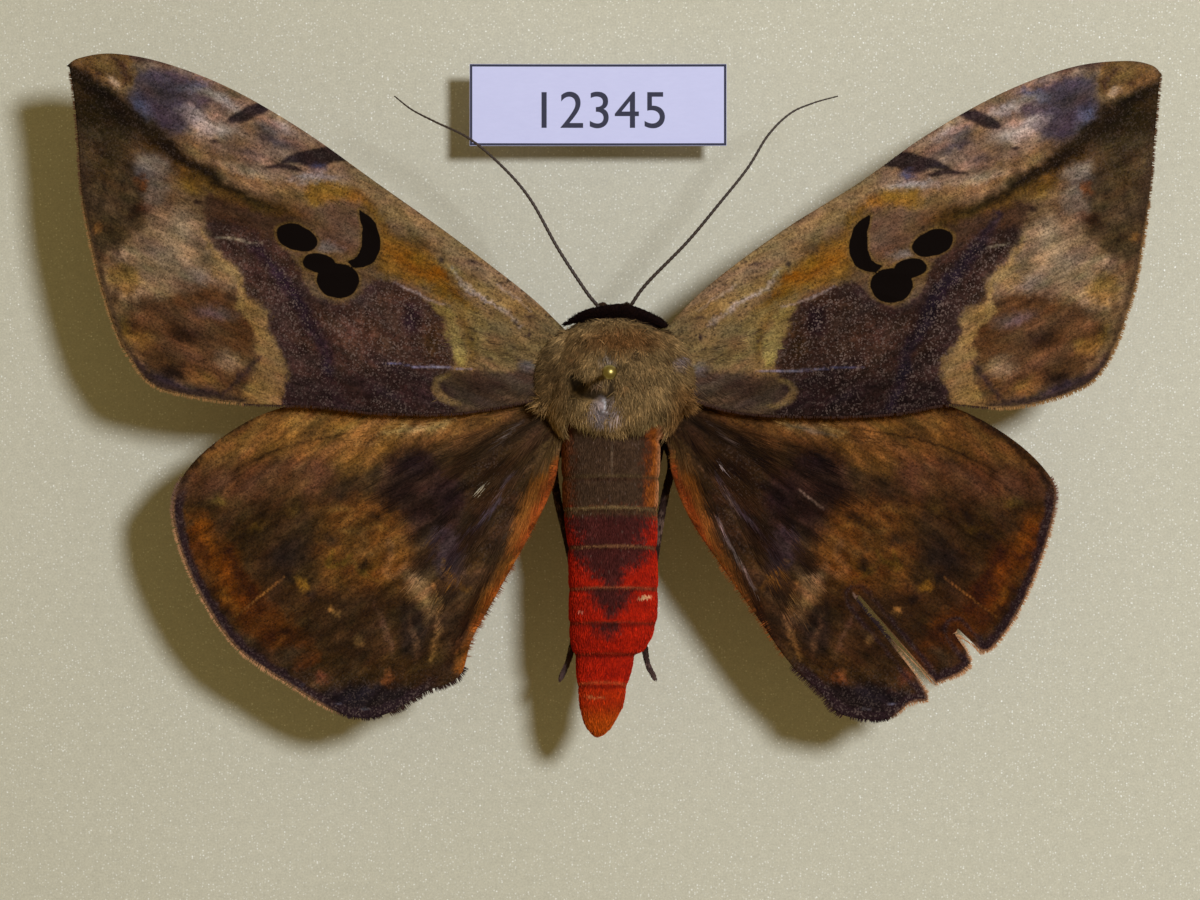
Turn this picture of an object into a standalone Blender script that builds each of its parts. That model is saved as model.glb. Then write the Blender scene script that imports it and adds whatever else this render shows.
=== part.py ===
"""Hypopyra vespertilio, a noctuoid moth, pinned and spread on a foam board with its paper label.

The frame: origin at the centre of the board's underside, +Z up, +Y towards the moth's head and
+X towards its right wings as seen from above. Sizes and places are in millimetres, and
new_object() turns them into metres. Places on the moth are given as (out, y), where out is
measured from the body's midline, or as (out, y, up), where up is measured from the wing plane.
"""

import math
import random

import bmesh
import bpy
import numpy as np
from mathutils import Vector
from mathutils.geometry import delaunay_2d_cdt

MM = 0.001

# The mount
BOARD_SIZE = (100.0, 76.0, 12.0)
BOARD_EDGE = 0.6
WING_PLANE = BOARD_SIZE[2] + 11.0
GAP = 0.25
PIN_PLACE = (0.63, 5.12)
PIN_RADIUS = 0.25
PIN_TIP = 2.0
PIN_TAPER = 3.0
PIN_HEAD_RADIUS = 0.52
PIN_HEAD_RINGS = 8
PIN_POINT = 0.02
PIN_SIDES = 16
PIN_TOP = WING_PLANE + 8.9
LABEL_CENTRE = (-0.13, 24.05)
LABEL_SIZE = (17.9, 5.7, 0.4)
LABEL_HEIGHT = 4.1
LABEL_BLOCK = (6.0, 3.0)

# The body's midline and main sizes
MIDLINE = 1.0
BODY_SIDES = 24
LAPPET_SIDES = 12
COLLAR_SIDES = 12
ABDOMEN_SIDES = 20
PALP_SIDES = 8
WING_THICKNESS = 0.5
WING_LIFT = 0.6
VEIN_RISE = 0.26
VEIN_HALF_WIDTH = 0.4
UNDER_VEIN_SHARE = 0.5
FINE_STEP = 0.15

# The spacing of a wing's points: along its outline and veins and over the rest, then how near
# a branch starts to a point already there and how far new points keep from the others
OUTLINE_STEP = 1.35
VEIN_STEP = 1.7
FIELD_STEP = 2.7
BRANCH_REACH = 0.3
VEIN_CLEARANCE = 0.3
OUTLINE_CLEARANCE = 0.45
FIELD_CLEARANCE = 1.25

# The thorax's rings from front to back: y, half width, height of the middle, half height
THORAX = [
    (8.85, 1.5, 1.5, 1.2),
    (8.55, 2.5, 1.15, 2.0),
    (8.0, 3.35, 0.6, 2.9),
    (7.0, 4.15, 0.2, 3.7),
    (5.6, 4.65, 0.0, 4.15),
    (4.1, 4.8, 0.0, 4.25),
    (3.0, 4.65, -0.1, 4.1),
    (2.1, 4.3, -0.3, 3.8),
    (1.45, 3.9, -0.5, 3.4),
    (0.95, 3.4, -0.7, 3.0),
]

# The shoulder lappets over the wing roots: out, y, up, half width, half thickness
LAPPET = [
    (3.0, 8.0, 1.7, 0.45, 0.4),
    (3.9, 6.9, 2.2, 1.0, 0.65),
    (4.4, 5.2, 2.35, 1.2, 0.75),
    (4.75, 3.4, 2.1, 1.05, 0.6),
    (5.0, 2.3, 1.85, 0.6, 0.35),
    (5.1, 1.9, 1.75, 0.3, 0.2),
]
LAPPET_LEAN = -0.35

# Locks of long hair scales, in rows from one end to the other. Each end of a row holds the
# root (out, y, up) and the tip (out, y, up) of its lock, then come the count and the width.
LOCK_ROWS = [
    ((-2.7, 2.7, 2.2), (-3.2, 0.3, 2.0), (2.7, 2.7, 2.2), (3.2, 0.3, 2.0), 9, 0.95, 1.15),
    ((-2.2, 3.5, 2.8), (-2.6, 0.75, 2.5), (2.2, 3.5, 2.8), (2.6, 0.75, 2.5), 8, 0.9, 0.9),
    ((3.2, 3.9, 1.6), (3.9, 0.9, 1.15), (4.7, 3.9, 1.9), (6.1, 1.75, 1.75), 5, 0.85, 0.35),
    ((3.6, 5.6, 2.5), (4.1, 2.6, 2.3), (4.9, 5.4, 2.3), (5.9, 2.9, 2.0), 4, 0.9, 0.35),
]
LOCK_THICKNESS = 0.3
LOCK_SEED = 11
LOCK_SIDES = 4

# A lock's rings: the share of its length, then the shares of its width and thickness
LOCK_RINGS = [(0, 0.7, 1), (0.4, 1, 0.9), (0.75, 0.66, 0.7), (1, 0.12, 0.3)]

# The abdomen along y: the midline's x, half width. Its seams are where one ring ends.
ABDOMEN = [
    (0.7, 0.75, 3.45),
    (-1.75, 0.72, 3.4),
    (-3.9, 0.7, 3.3),
    (-6.5, 0.85, 3.1),
    (-9.3, 0.92, 3.12),
    (-11.65, 0.88, 3.0),
    (-13.8, 0.62, 2.5),
    (-15.9, 0.25, 1.8),
    (-17.6, 0.08, 1.42),
    (-18.8, 0.0, 0.88),
    (-19.35, 0.0, 0.5),
    (-19.6, 0.0, 0.18),
]
ABDOMEN_SEAMS = [0.7, -1.75, -3.9, -6.5, -9.3, -11.65, -13.8, -15.9]
ABDOMEN_FLATNESS = 0.88
ABDOMEN_DROOP = (-0.8, -1.25)
SEAM_STEP = 0.16
SEAM_RINGS = [(0.35, 0.02), (0.88, 0.0)]
SEAM_LIP = (0.02, 0.04)
TAIL_RING = -16.6
TAIL_START = 8

# The dark collar over the head: out, y, up, half width, half height
COLLAR = [
    (-3.6, 8.32, 1.0, 0.12, 0.35),
    (-2.7, 8.78, 1.7, 0.26, 0.75),
    (-1.5, 9.16, 2.25, 0.38, 1.0),
    (-0.2, 9.34, 2.45, 0.46, 1.1),
    (0.9, 9.36, 2.4, 0.52, 1.1),
    (2.0, 9.1, 2.1, 0.46, 1.0),
    (2.9, 8.74, 1.6, 0.36, 0.75),
    (3.6, 8.36, 1.0, 0.2, 0.4),
]
COLLAR_LEAN = 0.25

HEAD_CENTRE = (0.0, 7.75, -1.75)
HEAD_RADII = (1.7, 1.75, 1.65)
EYE_CENTRE = (1.5, 8.3, -1.8)
EYE_RADIUS = 1.05
PALP = [
    (0.75, 8.5, -3.2, 0.3),
    (0.85, 9.2, -3.3, 0.4),
    (0.85, 9.6, -2.75, 0.42),
    (0.82, 9.7, -2.0, 0.38),
    (0.75, 9.75, -1.5, 0.25),
    (0.7, 9.85, -1.15, 0.1),
]
TONGUE_CENTRE = (0.0, 8.75, -4.65)
TONGUE_RADII = (0.35, 0.95)
TONGUE_TURNS = 1.6
TONGUE_THICKNESS = 0.2
TONGUE_RINGS = 22

# The feelers in the photo's pose: x, y, up
ANTENNAE = {
    "left": [
        (0.3, 9.0, -0.85),
        (-0.2, 9.85, -0.3),
        (-0.96, 10.8, 0.0),
        (-2.85, 13.67, 0.5),
        (-4.73, 17.0, 0.8),
        (-6.6, 19.2, 0.8),
        (-8.9, 21.15, 0.6),
        (-11.2, 22.3, 0.3),
        (-12.8, 23.15, 0.0),
        (-14.0, 24.1, -0.3),
    ],
    "right": [
        (1.7, 9.0, -0.85),
        (2.15, 9.9, -0.3),
        (3.2, 11.35, 0.0),
        (5.9, 14.1, 0.5),
        (8.0, 16.6, 0.8),
        (10.0, 19.1, 0.8),
        (11.4, 21.35, 0.6),
        (12.9, 22.85, 0.3),
        (14.5, 23.6, 0.0),
        (16.2, 24.1, -0.3),
    ],
}
ANTENNA_RADII = (0.27, 0.26, 0.25, 0.12)
ANTENNA_RINGS = 26
ANTENNA_SIDES = 6

# The legs: out, y, up, radius, from the body to the claws
FORE_LEG = [
    (1.2, 6.3, -3.5, 0.45),
    (1.7, 7.4, -4.7, 0.45),
    (2.2, 8.5, -5.2, 0.38),
    (2.3, 6.9, -5.9, 0.34),
    (2.1, 5.0, -6.2, 0.3),
    (1.9, 3.4, -6.3, 0.26),
    (1.7, 2.0, -6.35, 0.24),
    (1.6, 1.3, -6.4, 0.14),
]
MIDDLE_LEG = [
    (1.9, 4.0, -3.4, 0.5),
    (3.0, 4.6, -4.9, 0.45),
    (3.9, 4.9, -5.3, 0.4),
    (3.6, 2.8, -5.6, 0.34),
    (3.1, -0.2, -5.7, 0.32),
    (2.7, -2.6, -5.75, 0.26),
    (2.3, -4.8, -5.8, 0.24),
    (2.1, -5.6, -5.8, 0.14),
]
HIND_LEGS = {
    "left": [
        (2.2, 2.4, -3.2, 0.5),
        (3.3, 0.9, -3.3, 0.42),
        (4.15, -0.9, -3.0, 0.36),
        (3.95, -3.2, -2.9, 0.3),
        (3.45, -6.0, -3.0, 0.3),
        (3.0, -9.4, -3.6, 0.27),
        (2.9, -12.3, -3.4, 0.26),
        (3.2, -14.4, -3.0, 0.25),
        (3.8, -15.9, -2.9, 0.15),
    ],
    "right": [
        (2.2, 2.4, -3.2, 0.5),
        (3.4, 0.9, -3.3, 0.42),
        (3.95, -0.9, -3.0, 0.36),
        (3.55, -2.8, -2.9, 0.3),
        (3.15, -5.5, -3.2, 0.3),
        (2.7, -9.4, -3.7, 0.27),
        (2.2, -12.3, -3.8, 0.26),
        (2.25, -14.4, -3.3, 0.25),
        (2.85, -15.9, -3.0, 0.15),
    ],
}
LEG_SIDES = 8
LEG_RINGS = 16

# Wing outlines as smooth arcs that meet at corners: (out, y)
FOREWING = {
    "left": [
        [(3.2, 8.0), (6.0, 10.65), (11.0, 14.5), (16.0, 18.05), (21.0, 21.6), (26.0, 24.5),
         (30.5, 26.25), (34.0, 26.9), (36.3, 26.6), (37.2, 26.05)],
        [(37.2, 26.05), (36.9, 24.4), (36.6, 21.2), (36.3, 17.0), (35.4, 12.5), (34.7, 10.05),
         (33.85, 7.6), (32.9, 5.9), (31.6, 4.35), (29.3, 3.55), (25.1, 2.95), (20.5, 2.8),
         (16.0, 2.35), (11.0, 2.3), (6.5, 3.0), (3.2, 3.9)],
    ],
    "right": [
        [(3.2, 8.0), (6.4, 11.2), (11.3, 14.85), (16.5, 18.1), (21.1, 21.35), (26.2, 24.2),
         (30.9, 25.95), (34.5, 26.4), (36.4, 26.1), (37.15, 25.4)],
        [(37.15, 25.4), (37.0, 23.7), (36.7, 20.0), (36.35, 16.2), (35.6, 11.5), (34.9, 9.05),
         (34.2, 7.1), (33.3, 5.4), (31.9, 4.1), (29.0, 3.05), (26.2, 2.65), (22.5, 2.9),
         (19.0, 2.3), (14.0, 2.1), (9.0, 2.3), (6.0, 3.0), (3.2, 3.9)],
    ],
}
HINDWING = {
    "left": [
        [(3.0, 4.2), (8.0, 4.9), (14.0, 4.6), (20.0, 3.7), (24.1, 2.6), (27.3, 0.7),
         (29.4, -1.4), (30.3, -3.6), (29.9, -6.4), (28.4, -10.0), (25.8, -13.7), (22.2, -16.2),
         (19.4, -17.85), (17.3, -18.45), (15.3, -18.1), (12.7, -16.6), (11.3, -16.1),
         (10.2, -15.2), (9.5, -12.9), (7.9, -10.0), (6.0, -6.4), (4.2, -2.5), (3.7, 0.0),
         (3.0, 1.6)],
    ],
    "right": [
        [(3.0, 4.2), (8.0, 4.9), (14.0, 4.6), (20.0, 3.9), (24.0, 2.75), (27.6, 0.6),
         (29.9, -1.8), (30.25, -3.6), (29.45, -6.9), (27.8, -10.9), (26.0, -13.5),
         (25.0, -14.0)],
        [(23.25, -12.3), (24.45, -14.3), (23.8, -15.3), (21.8, -16.15)],
        [(16.5, -10.0), (21.4, -16.4), (20.1, -17.5), (18.6, -18.5), (16.6, -18.5), (15.0, -18.0),
         (13.9, -16.7), (11.9, -14.8), (9.8, -11.85), (7.5, -8.55), (5.1, -4.7), (3.9, -1.6),
         (3.7, 0.0), (3.0, 1.6)],
    ],
}

# The main veins: (out, y), from the root or from where they branch
FOREWING_VEINS = [
    [(4.0, 7.5), (10.0, 12.3), (16.0, 16.7), (21.5, 20.6)],
    [(4.0, 6.8), (10.0, 11.0), (17.0, 15.6), (23.0, 19.6), (29.0, 24.2)],
    [(18.0, 16.2), (24.0, 19.0), (30.0, 22.0), (35.6, 24.9)],
    [(17.4, 14.9), (24.0, 16.4), (30.0, 18.3), (35.8, 20.4)],
    [(17.7, 16.0), (17.0, 14.0), (17.4, 12.1)],
    [(4.0, 6.1), (9.0, 8.7), (13.0, 10.5), (17.4, 12.1)],
    [(17.4, 12.8), (24.0, 13.5), (30.0, 14.6), (35.3, 15.6)],
    [(17.4, 12.1), (24.0, 11.6), (30.0, 11.3), (34.8, 11.0)],
    [(15.4, 11.3), (22.0, 9.5), (28.0, 8.1), (33.4, 7.0)],
    [(12.3, 10.2), (18.0, 7.9), (24.0, 5.9), (30.4, 4.3)],
    [(4.0, 5.3), (10.0, 5.4), (17.0, 5.4), (23.0, 4.4), (26.6, 3.6)],
]
HINDWING_VEINS = [
    [(4.0, 3.6), (12.0, 3.2), (20.0, 1.7), (27.0, -0.1)],
    [(4.0, 2.9), (12.0, 1.0), (20.0, -1.2), (29.2, -4.2)],
    [(13.6, 0.6), (21.0, -3.6), (28.3, -7.8)],
    [(13.6, 0.6), (12.2, -1.6), (12.6, -3.8)],
    [(12.4, -2.9), (20.0, -8.0), (25.4, -12.2)],
    [(4.0, 2.2), (8.4, -0.6), (12.6, -3.8), (17.8, -9.2), (22.6, -14.7)],
    [(11.4, -2.9), (15.3, -9.6), (19.1, -17.0)],
    [(9.6, -1.5), (12.8, -9.5), (16.0, -17.2)],
    [(4.2, 1.4), (8.2, -5.5), (11.6, -13.0)],
]

# The leaf-like crease from the wing tip to the middle of the hind edge
CREASE = [(36.4, 25.2), (30.0, 20.4), (24.0, 16.6), (19.5, 9.5), (17.0, 3.0)]
CREASE_RISE = 0.3
CREASE_REACH = 2.6
FOREWING_ARCH = 0.7
HINDWING_ARCH = 0.45
HINDWING_ROOT = (4.0, 3.0)
WING_REACH = 38.0

COLOURS = {
    "foam": ((0.62, 0.60, 0.46), 0.9, 0.0),
    "pin_metal": ((0.72, 0.62, 0.3), 0.3, 1.0),
    "paper": ((0.72, 0.74, 0.9), 0.8, 0.0),
    "thorax_fur": ((0.26, 0.2, 0.11), 0.85, 0.0),
    "collar_scales": ((0.02, 0.012, 0.008), 0.7, 0.0),
    "abdomen_scales": ((0.45, 0.03, 0.01), 0.75, 0.0),
    "eye": ((0.03, 0.02, 0.015), 0.25, 0.0),
    "head_scales": ((0.05, 0.03, 0.02), 0.8, 0.0),
    "horn": ((0.05, 0.035, 0.02), 0.5, 0.0),
    "forewing_scales": ((0.2, 0.13, 0.07), 0.8, 0.0),
    "hindwing_scales": ((0.11, 0.06, 0.03), 0.8, 0.0),
}


def clear_scene():
    """Removes whatever the scene holds."""
    for old in list(bpy.data.objects):
        bpy.data.objects.remove(old, do_unlink=True)


def material(name):
    """The named material, made once."""
    found = bpy.data.materials.get(name)
    if found:
        return found
    colour, roughness, metallic = COLOURS[name]
    made = bpy.data.materials.new(name)
    made.use_nodes = True
    shader = made.node_tree.nodes["Principled BSDF"]
    shader.inputs["Base Color"].default_value = (*colour, 1.0)
    shader.inputs["Roughness"].default_value = roughness
    shader.inputs["Metallic"].default_value = metallic
    made.diffuse_color = (*colour, 1.0)
    return made


def new_object(name, bm, origin=(0.0, 0.0, 0.0), finish=None, parent=None):
    """Turns a bmesh in millimetres into an object in metres, with its origin at that place."""
    bmesh.ops.translate(bm, verts=bm.verts, vec=-Vector(origin))
    bmesh.ops.scale(bm, verts=bm.verts, vec=(MM, MM, MM))
    bmesh.ops.recalc_face_normals(bm, faces=bm.faces)
    mesh = bpy.data.meshes.new(name)
    bm.to_mesh(mesh)
    bm.free()
    made = bpy.data.objects.new(name, mesh)
    bpy.context.scene.collection.objects.link(made)
    made.location = Vector(origin) * MM
    if finish:
        mesh.materials.append(material(finish))
    if parent:
        made.parent = parent
    return made


def shade(made, angle=40.0):
    """Smooth shading with sharp edges kept."""
    made.data.shade_smooth()
    made.data.set_sharp_from_angle(angle=math.radians(angle))


def smooth_curve(points, step):
    """Points at about this spacing along a Catmull-Rom curve through the given ones."""
    knots = np.array(points, float)
    padded = np.vstack([2 * knots[0] - knots[1], knots, 2 * knots[-1] - knots[-2]])
    found = []
    for i in range(1, len(padded) - 2):
        a, b, c, d = padded[i - 1 : i + 3]
        count = max(1, round(float(np.linalg.norm(c - b)) / step))
        for t in np.arange(count) / count:
            bend = (2 * a - 5 * b + 4 * c - d) * t**2 + (3 * b - a - 3 * c + d) * t**3
            found.append(0.5 * (2 * b + (c - a) * t + bend))
    found.append(knots[-1])
    return np.array(found)


def at_stations(points, count):
    """Points spread evenly, by length, along a smooth curve through the given ones."""
    fine = smooth_curve(points, FINE_STEP)
    place = fine[:, :3]
    along = np.concatenate([[0.0], np.cumsum(np.linalg.norm(np.diff(place, axis=0), axis=1))])
    wanted = np.linspace(0.0, along[-1], count)
    return np.stack([np.interp(wanted, along, column) for column in fine.T], axis=1)


def ring(bm, centre, across, up, sides):
    """A closed loop of edges: an ellipse spanned by two half axes."""
    turn = [2 * math.pi * k / sides for k in range(sides)]
    corners = [
        bm.verts.new(Vector(centre) + Vector(across) * math.cos(a) + Vector(up) * math.sin(a))
        for a in turn
    ]
    return [bm.edges.new((corners[k], corners[(k + 1) % sides])) for k in range(sides)]


def loft(rings, sides):
    """A closed skin over ellipses given as (centre, half axis across, half axis up)."""
    bm = bmesh.new()
    loops = [ring(bm, *one, sides) for one in rings]
    for first, second in zip(loops, loops[1:]):
        bmesh.ops.bridge_loops(bm, edges=first + second)
    for end in (loops[0], loops[-1]):
        bmesh.ops.edgenet_fill(bm, edges=end)
    bmesh.ops.recalc_face_normals(bm, faces=bm.faces)
    return bm


def tube(stations, sides):
    """A closed tube along (x, y, z, radius) stations, with its rings square to the path."""
    places = [Vector(s[:3]) for s in stations]
    rings = []
    across = None
    for k, place in enumerate(places):
        ahead = places[min(k + 1, len(places) - 1)] - places[max(k - 1, 0)]
        ahead.normalize()
        across = ahead.orthogonal() if across is None else across - ahead * across.dot(ahead)
        across.normalize()
        radius = float(stations[k][3])
        rings.append((place, across * radius, ahead.cross(across) * radius))
    return loft(rings, sides)


def body_rings(table, grow):
    """The ellipses of a body part from rows of (y, x, half width, height, half height)."""
    return [
        ((x, y, WING_PLANE + height), (half + grow, 0, 0), (0, 0, tall + grow))
        for y, x, half, height, tall in table
    ]


def thorax_rings(grow=0.0):
    """The thorax's ellipses, with its blunt ends moved out by the growth."""
    rows = [(y, MIDLINE, half, height, tall) for y, half, height, tall in THORAX]
    first, last = rows[0], rows[-1]
    rows[0] = (first[0] + grow, *first[1:])
    rows[-1] = (last[0] - grow, *last[1:])
    return body_rings(rows, grow)


def lappet_rings(side, grow=0.0):
    """One shoulder lappet as flat ellipses that lean outwards."""
    return [
        (
            (MIDLINE + side * out, y, WING_PLANE + up),
            (side * (half + grow), 0, LAPPET_LEAN * (half + grow)),
            (0, 0, thick + grow),
        )
        for out, y, up, half, thick in LAPPET
    ]


def lock(root, tip, width, lift, draw):
    """One flat tapered lock that rises from its root and bends down to its tip."""
    root, tip = Vector(root), Vector(tip)
    ahead = (tip - root).normalized()
    across = ahead.cross(Vector((0, 0, 1))).normalized()
    sway = across * draw.uniform(-0.12, 0.12)
    rings = []
    for share, wide, thick in LOCK_RINGS:
        rise = lift * math.sin(math.pi * share)
        middle = root.lerp(tip, share) + Vector((0, 0, rise)) + sway * share
        up = Vector((0, 0, LOCK_THICKNESS / 2 * thick))
        rings.append((middle, across * (width / 2 * wide), up))
    return loft(rings, LOCK_SIDES)


def lock_helpers():
    """The rows of locks on the thorax, with small seeded differences."""
    draw = random.Random(LOCK_SEED)
    made = []
    for first_root, first_tip, last_root, last_tip, count, width, lift in LOCK_ROWS:
        sides = (1,) if first_root[0] < 0 else (-1, 1)
        for side in sides:
            for k in range(count):
                share = (k + 0.5) / count
                root = Vector(first_root).lerp(Vector(last_root), share)
                tip = Vector(first_tip).lerp(Vector(last_tip), share)
                root.y += draw.uniform(-0.15, 0.15)
                tip.x += draw.uniform(-0.12, 0.12)
                tip.y += draw.uniform(-0.2, 0.2)
                root = on_body(side, *root)
                tip = on_body(side, *tip)
                wide = width * draw.uniform(0.85, 1.15)
                made.append(helper("lock", lock(root, tip, wide, lift, draw)))
    return made


def helper(name, bm):
    """A cutter or a piece to be joined, hidden from the render."""
    made = new_object(name, bm)
    made.hide_render = True
    made.display_type = "WIRE"
    return made


def apply_boolean(target, others, operation):
    """Joins or cuts target with the given helpers at once, and removes them."""
    group = bpy.data.collections.new("pieces")
    bpy.context.scene.collection.children.link(group)
    for one in others:
        group.objects.link(one)
    modifier = target.modifiers.new("pieces", "BOOLEAN")
    modifier.operation = operation
    modifier.operand_type = "COLLECTION"
    modifier.collection = group
    modifier.solver = "EXACT"
    bpy.context.view_layer.update()
    graph = bpy.context.evaluated_depsgraph_get()
    result = bpy.data.meshes.new_from_object(target.evaluated_get(graph))
    target.modifiers.clear()
    target.data = result
    for one in others:
        bpy.data.objects.remove(one, do_unlink=True)
    bpy.data.collections.remove(group)
    keep_largest(target)


def keep_largest(target):
    """Leaves only the largest closed surface of the mesh."""
    bm = bmesh.new()
    bm.from_mesh(target.data)
    left = set(bm.verts)
    islands = []
    while left:
        island, edge = set(), [left.pop()]
        while edge:
            vertex = edge.pop()
            island.add(vertex)
            near = {e.other_vert(vertex) for e in vertex.link_edges} & left
            left -= near
            edge.extend(near)
        islands.append(island)

    def spread(island):
        places = np.array([v.co for v in island])
        return float(np.prod(np.ptp(places, axis=0) + 1e-6))

    islands.sort(key=spread)
    for island in islands[:-1]:
        bmesh.ops.delete(bm, geom=list(island), context="VERTS")
    bmesh.ops.triangulate(bm, faces=bm.faces)
    bm.to_mesh(target.data)
    bm.free()


def distance_to_line(places, line):
    """Each place's distance to a polyline, in the plane."""
    best = np.full(len(places), 1e9)
    for a, b in zip(line, line[1:]):
        along = b - a
        share = np.clip((places - a) @ along / max(float(along @ along), 1e-9), 0, 1)
        best = np.minimum(best, np.linalg.norm(places - a - share[:, None] * along, axis=1))
    return best


def inside(places, outline):
    """Which places lie inside the closed outline."""
    x, y = places[:, 0], places[:, 1]
    found = np.zeros(len(places), bool)
    for (x0, y0), (x1, y1) in zip(outline, np.roll(outline, -1, axis=0)):
        if y0 != y1:
            crosses = (y0 > y) != (y1 > y)
            found ^= crosses & (x < (x1 - x0) * (y - y0) / (y1 - y0) + x0)
    return found


def wing_outline(arcs):
    """One closed outline from arcs that are smooth inside and meet at corners."""
    pieces = []
    for arc in arcs:
        line = smooth_curve(arc, OUTLINE_STEP)
        if pieces and np.allclose(pieces[-1][-1], line[0]):
            line = line[1:]
        pieces.append(line)
    return np.vstack(pieces)


def apart(places, others, least):
    """Whether each place is at least this far from every other one."""
    if len(others) == 0:
        return np.ones(len(places), bool)
    reach = np.linalg.norm(places[:, None] - np.array(others)[None], axis=2)
    return reach.min(axis=1) >= least


def wing_points(outline, veins):
    """The plane's points for a wing and the edges that have to be kept: outline and veins."""
    lines = [smooth_curve(vein, VEIN_STEP) for vein in veins]
    points = list(outline)
    edges = [(k, (k + 1) % len(outline)) for k in range(len(outline))]
    for line in lines:
        near_first = np.linalg.norm(np.array(points) - line[0], axis=1)
        start = int(near_first.argmin()) if near_first.min() < BRANCH_REACH else None
        ids = []
        for place in line:
            if start is not None and not ids:
                ids.append(start)
                continue
            ids.append(len(points))
            points.append(place)
        edges += list(zip(ids, ids[1:]))
    for own, line in enumerate(lines):
        ahead = np.gradient(line, axis=0)
        ahead /= np.linalg.norm(ahead, axis=1)[:, None]
        beside = np.stack([-ahead[:, 1], ahead[:, 0]], axis=1) * VEIN_HALF_WIDTH
        for flank in (line + beside, line - beside):
            clear = inside(flank, outline) & apart(flank, outline, OUTLINE_CLEARANCE)
            for other, centre in enumerate(lines):
                if other != own:
                    clear &= distance_to_line(flank, centre) > VEIN_CLEARANCE
            clear &= apart(flank, points[len(outline) :], VEIN_CLEARANCE)
            points += list(flank[clear])
    low, high = outline.min(axis=0), outline.max(axis=0)
    across = np.arange(low[0], high[0], FIELD_STEP)
    down = np.arange(low[1], high[1], FIELD_STEP * 0.87)
    field = np.array([(x + (j % 2) * FIELD_STEP / 2, y) for j, y in enumerate(down) for x in across])
    clear = inside(field, outline) & apart(field, points, FIELD_CLEARANCE)
    points += list(field[clear])
    return np.array(points), edges, lines


def vein_rise(places, lines):
    """How far the veins stand up from the membrane at each place."""
    nearest = np.min([distance_to_line(places, line) for line in lines], axis=0)
    return VEIN_RISE * np.clip(1 - nearest / VEIN_HALF_WIDTH, 0, 1)


def forewing_height(places):
    """The forewing's middle surface over the wing plane: an arch with a leaf-like crease."""
    arch = FOREWING_ARCH * np.sin(math.pi * np.clip(places[:, 0] / WING_REACH, 0, 1))
    crease = smooth_curve(CREASE, 2.0)
    fold = CREASE_RISE * np.exp(-((distance_to_line(places, crease) / CREASE_REACH) ** 2))
    free = np.clip((places[:, 1] - 5.0) / 4.0, 0, 1)
    return WING_LIFT + arch + fold * free


def hindwing_height(places):
    """The hindwing's middle surface under the wing plane, falling towards the hind edge."""
    reach = np.linalg.norm(places - np.array(HINDWING_ROOT), axis=1)
    arch = HINDWING_ARCH * np.sin(math.pi * np.clip(reach / (0.75 * WING_REACH), 0, 1))
    return -WING_LIFT + arch * np.clip((6.0 - places[:, 1]) / 8.0, 0.3, 1)


def wing(arcs, veins, height, side):
    """A wing as one closed membrane with raised veins, alike in its triangles above and below."""
    outline = wing_outline(arcs)
    points, edges, lines = wing_points(outline, veins)
    corners, _, faces, *_ = delaunay_2d_cdt(
        [Vector(p) for p in points], edges, [list(range(len(outline)))], 1, 1e-4
    )
    places = np.array([tuple(c) for c in corners])
    middle = WING_PLANE + height(places)
    rise = vein_rise(places, lines)
    bm = bmesh.new()
    layers = []
    for way in (1, -1):
        share = 1.0 if way > 0 else UNDER_VEIN_SHARE
        heights = middle + way * (WING_THICKNESS / 2 + share * rise)
        xs = MIDLINE + side * places[:, 0]
        layers.append([bm.verts.new(corner) for corner in zip(xs, places[:, 1], heights)])
    top, bottom = layers
    used = {}
    for face in faces:
        bm.faces.new([top[k] for k in face])
        bm.faces.new([bottom[k] for k in reversed(face)])
        for a, b in zip(face, face[1:] + face[:1]):
            used.setdefault(frozenset((a, b)), []).append((a, b))
    for found in used.values():
        if len(found) == 1:
            a, b = found[0]
            bm.faces.new((top[b], top[a], bottom[a]))
            bm.faces.new((top[b], bottom[a], bottom[b]))
    loose = [v for v in bm.verts if not v.link_faces]
    bmesh.ops.delete(bm, geom=loose, context="VERTS")
    return bm


def body_cutters(grow):
    """The thorax and its lappets, grown by a gap, as cutters for what meets them."""
    cutters = [helper("thorax_cutter", loft(thorax_rings(grow), BODY_SIDES))]
    for side in (-1, 1):
        cutters.append(helper("lappet_cutter", loft(lappet_rings(side, grow), LAPPET_SIDES)))
    return cutters


def head_cutter():
    """The head, grown by the gap."""
    return helper("head_room", ball(on_body(1, *HEAD_CENTRE), [r + GAP for r in HEAD_RADII]))


def eye_cutter(side):
    """One eye, grown by the gap."""
    return helper("eye_room", ball(on_body(side, *EYE_CENTRE), [EYE_RADIUS + GAP] * 3))


def cylinder(place, radius, low, high, sides=PIN_SIDES):
    """An upright closed cylinder."""
    rings = [((*place, z), (radius, 0, 0), (0, radius, 0)) for z in (low, high)]
    return loft(rings, sides)


def ball(centre, radii, across=20, rows=12):
    """A closed ellipsoid."""
    bm = bmesh.new()
    bmesh.ops.create_uvsphere(bm, u_segments=across, v_segments=rows, radius=1.0)
    bmesh.ops.scale(bm, verts=bm.verts, vec=radii)
    bmesh.ops.translate(bm, verts=bm.verts, vec=centre)
    return bm


def on_body(side, out, y, up):
    """A place given as out from the midline, y and up from the wing plane."""
    return (MIDLINE + side * out, y, WING_PLANE + up)


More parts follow.
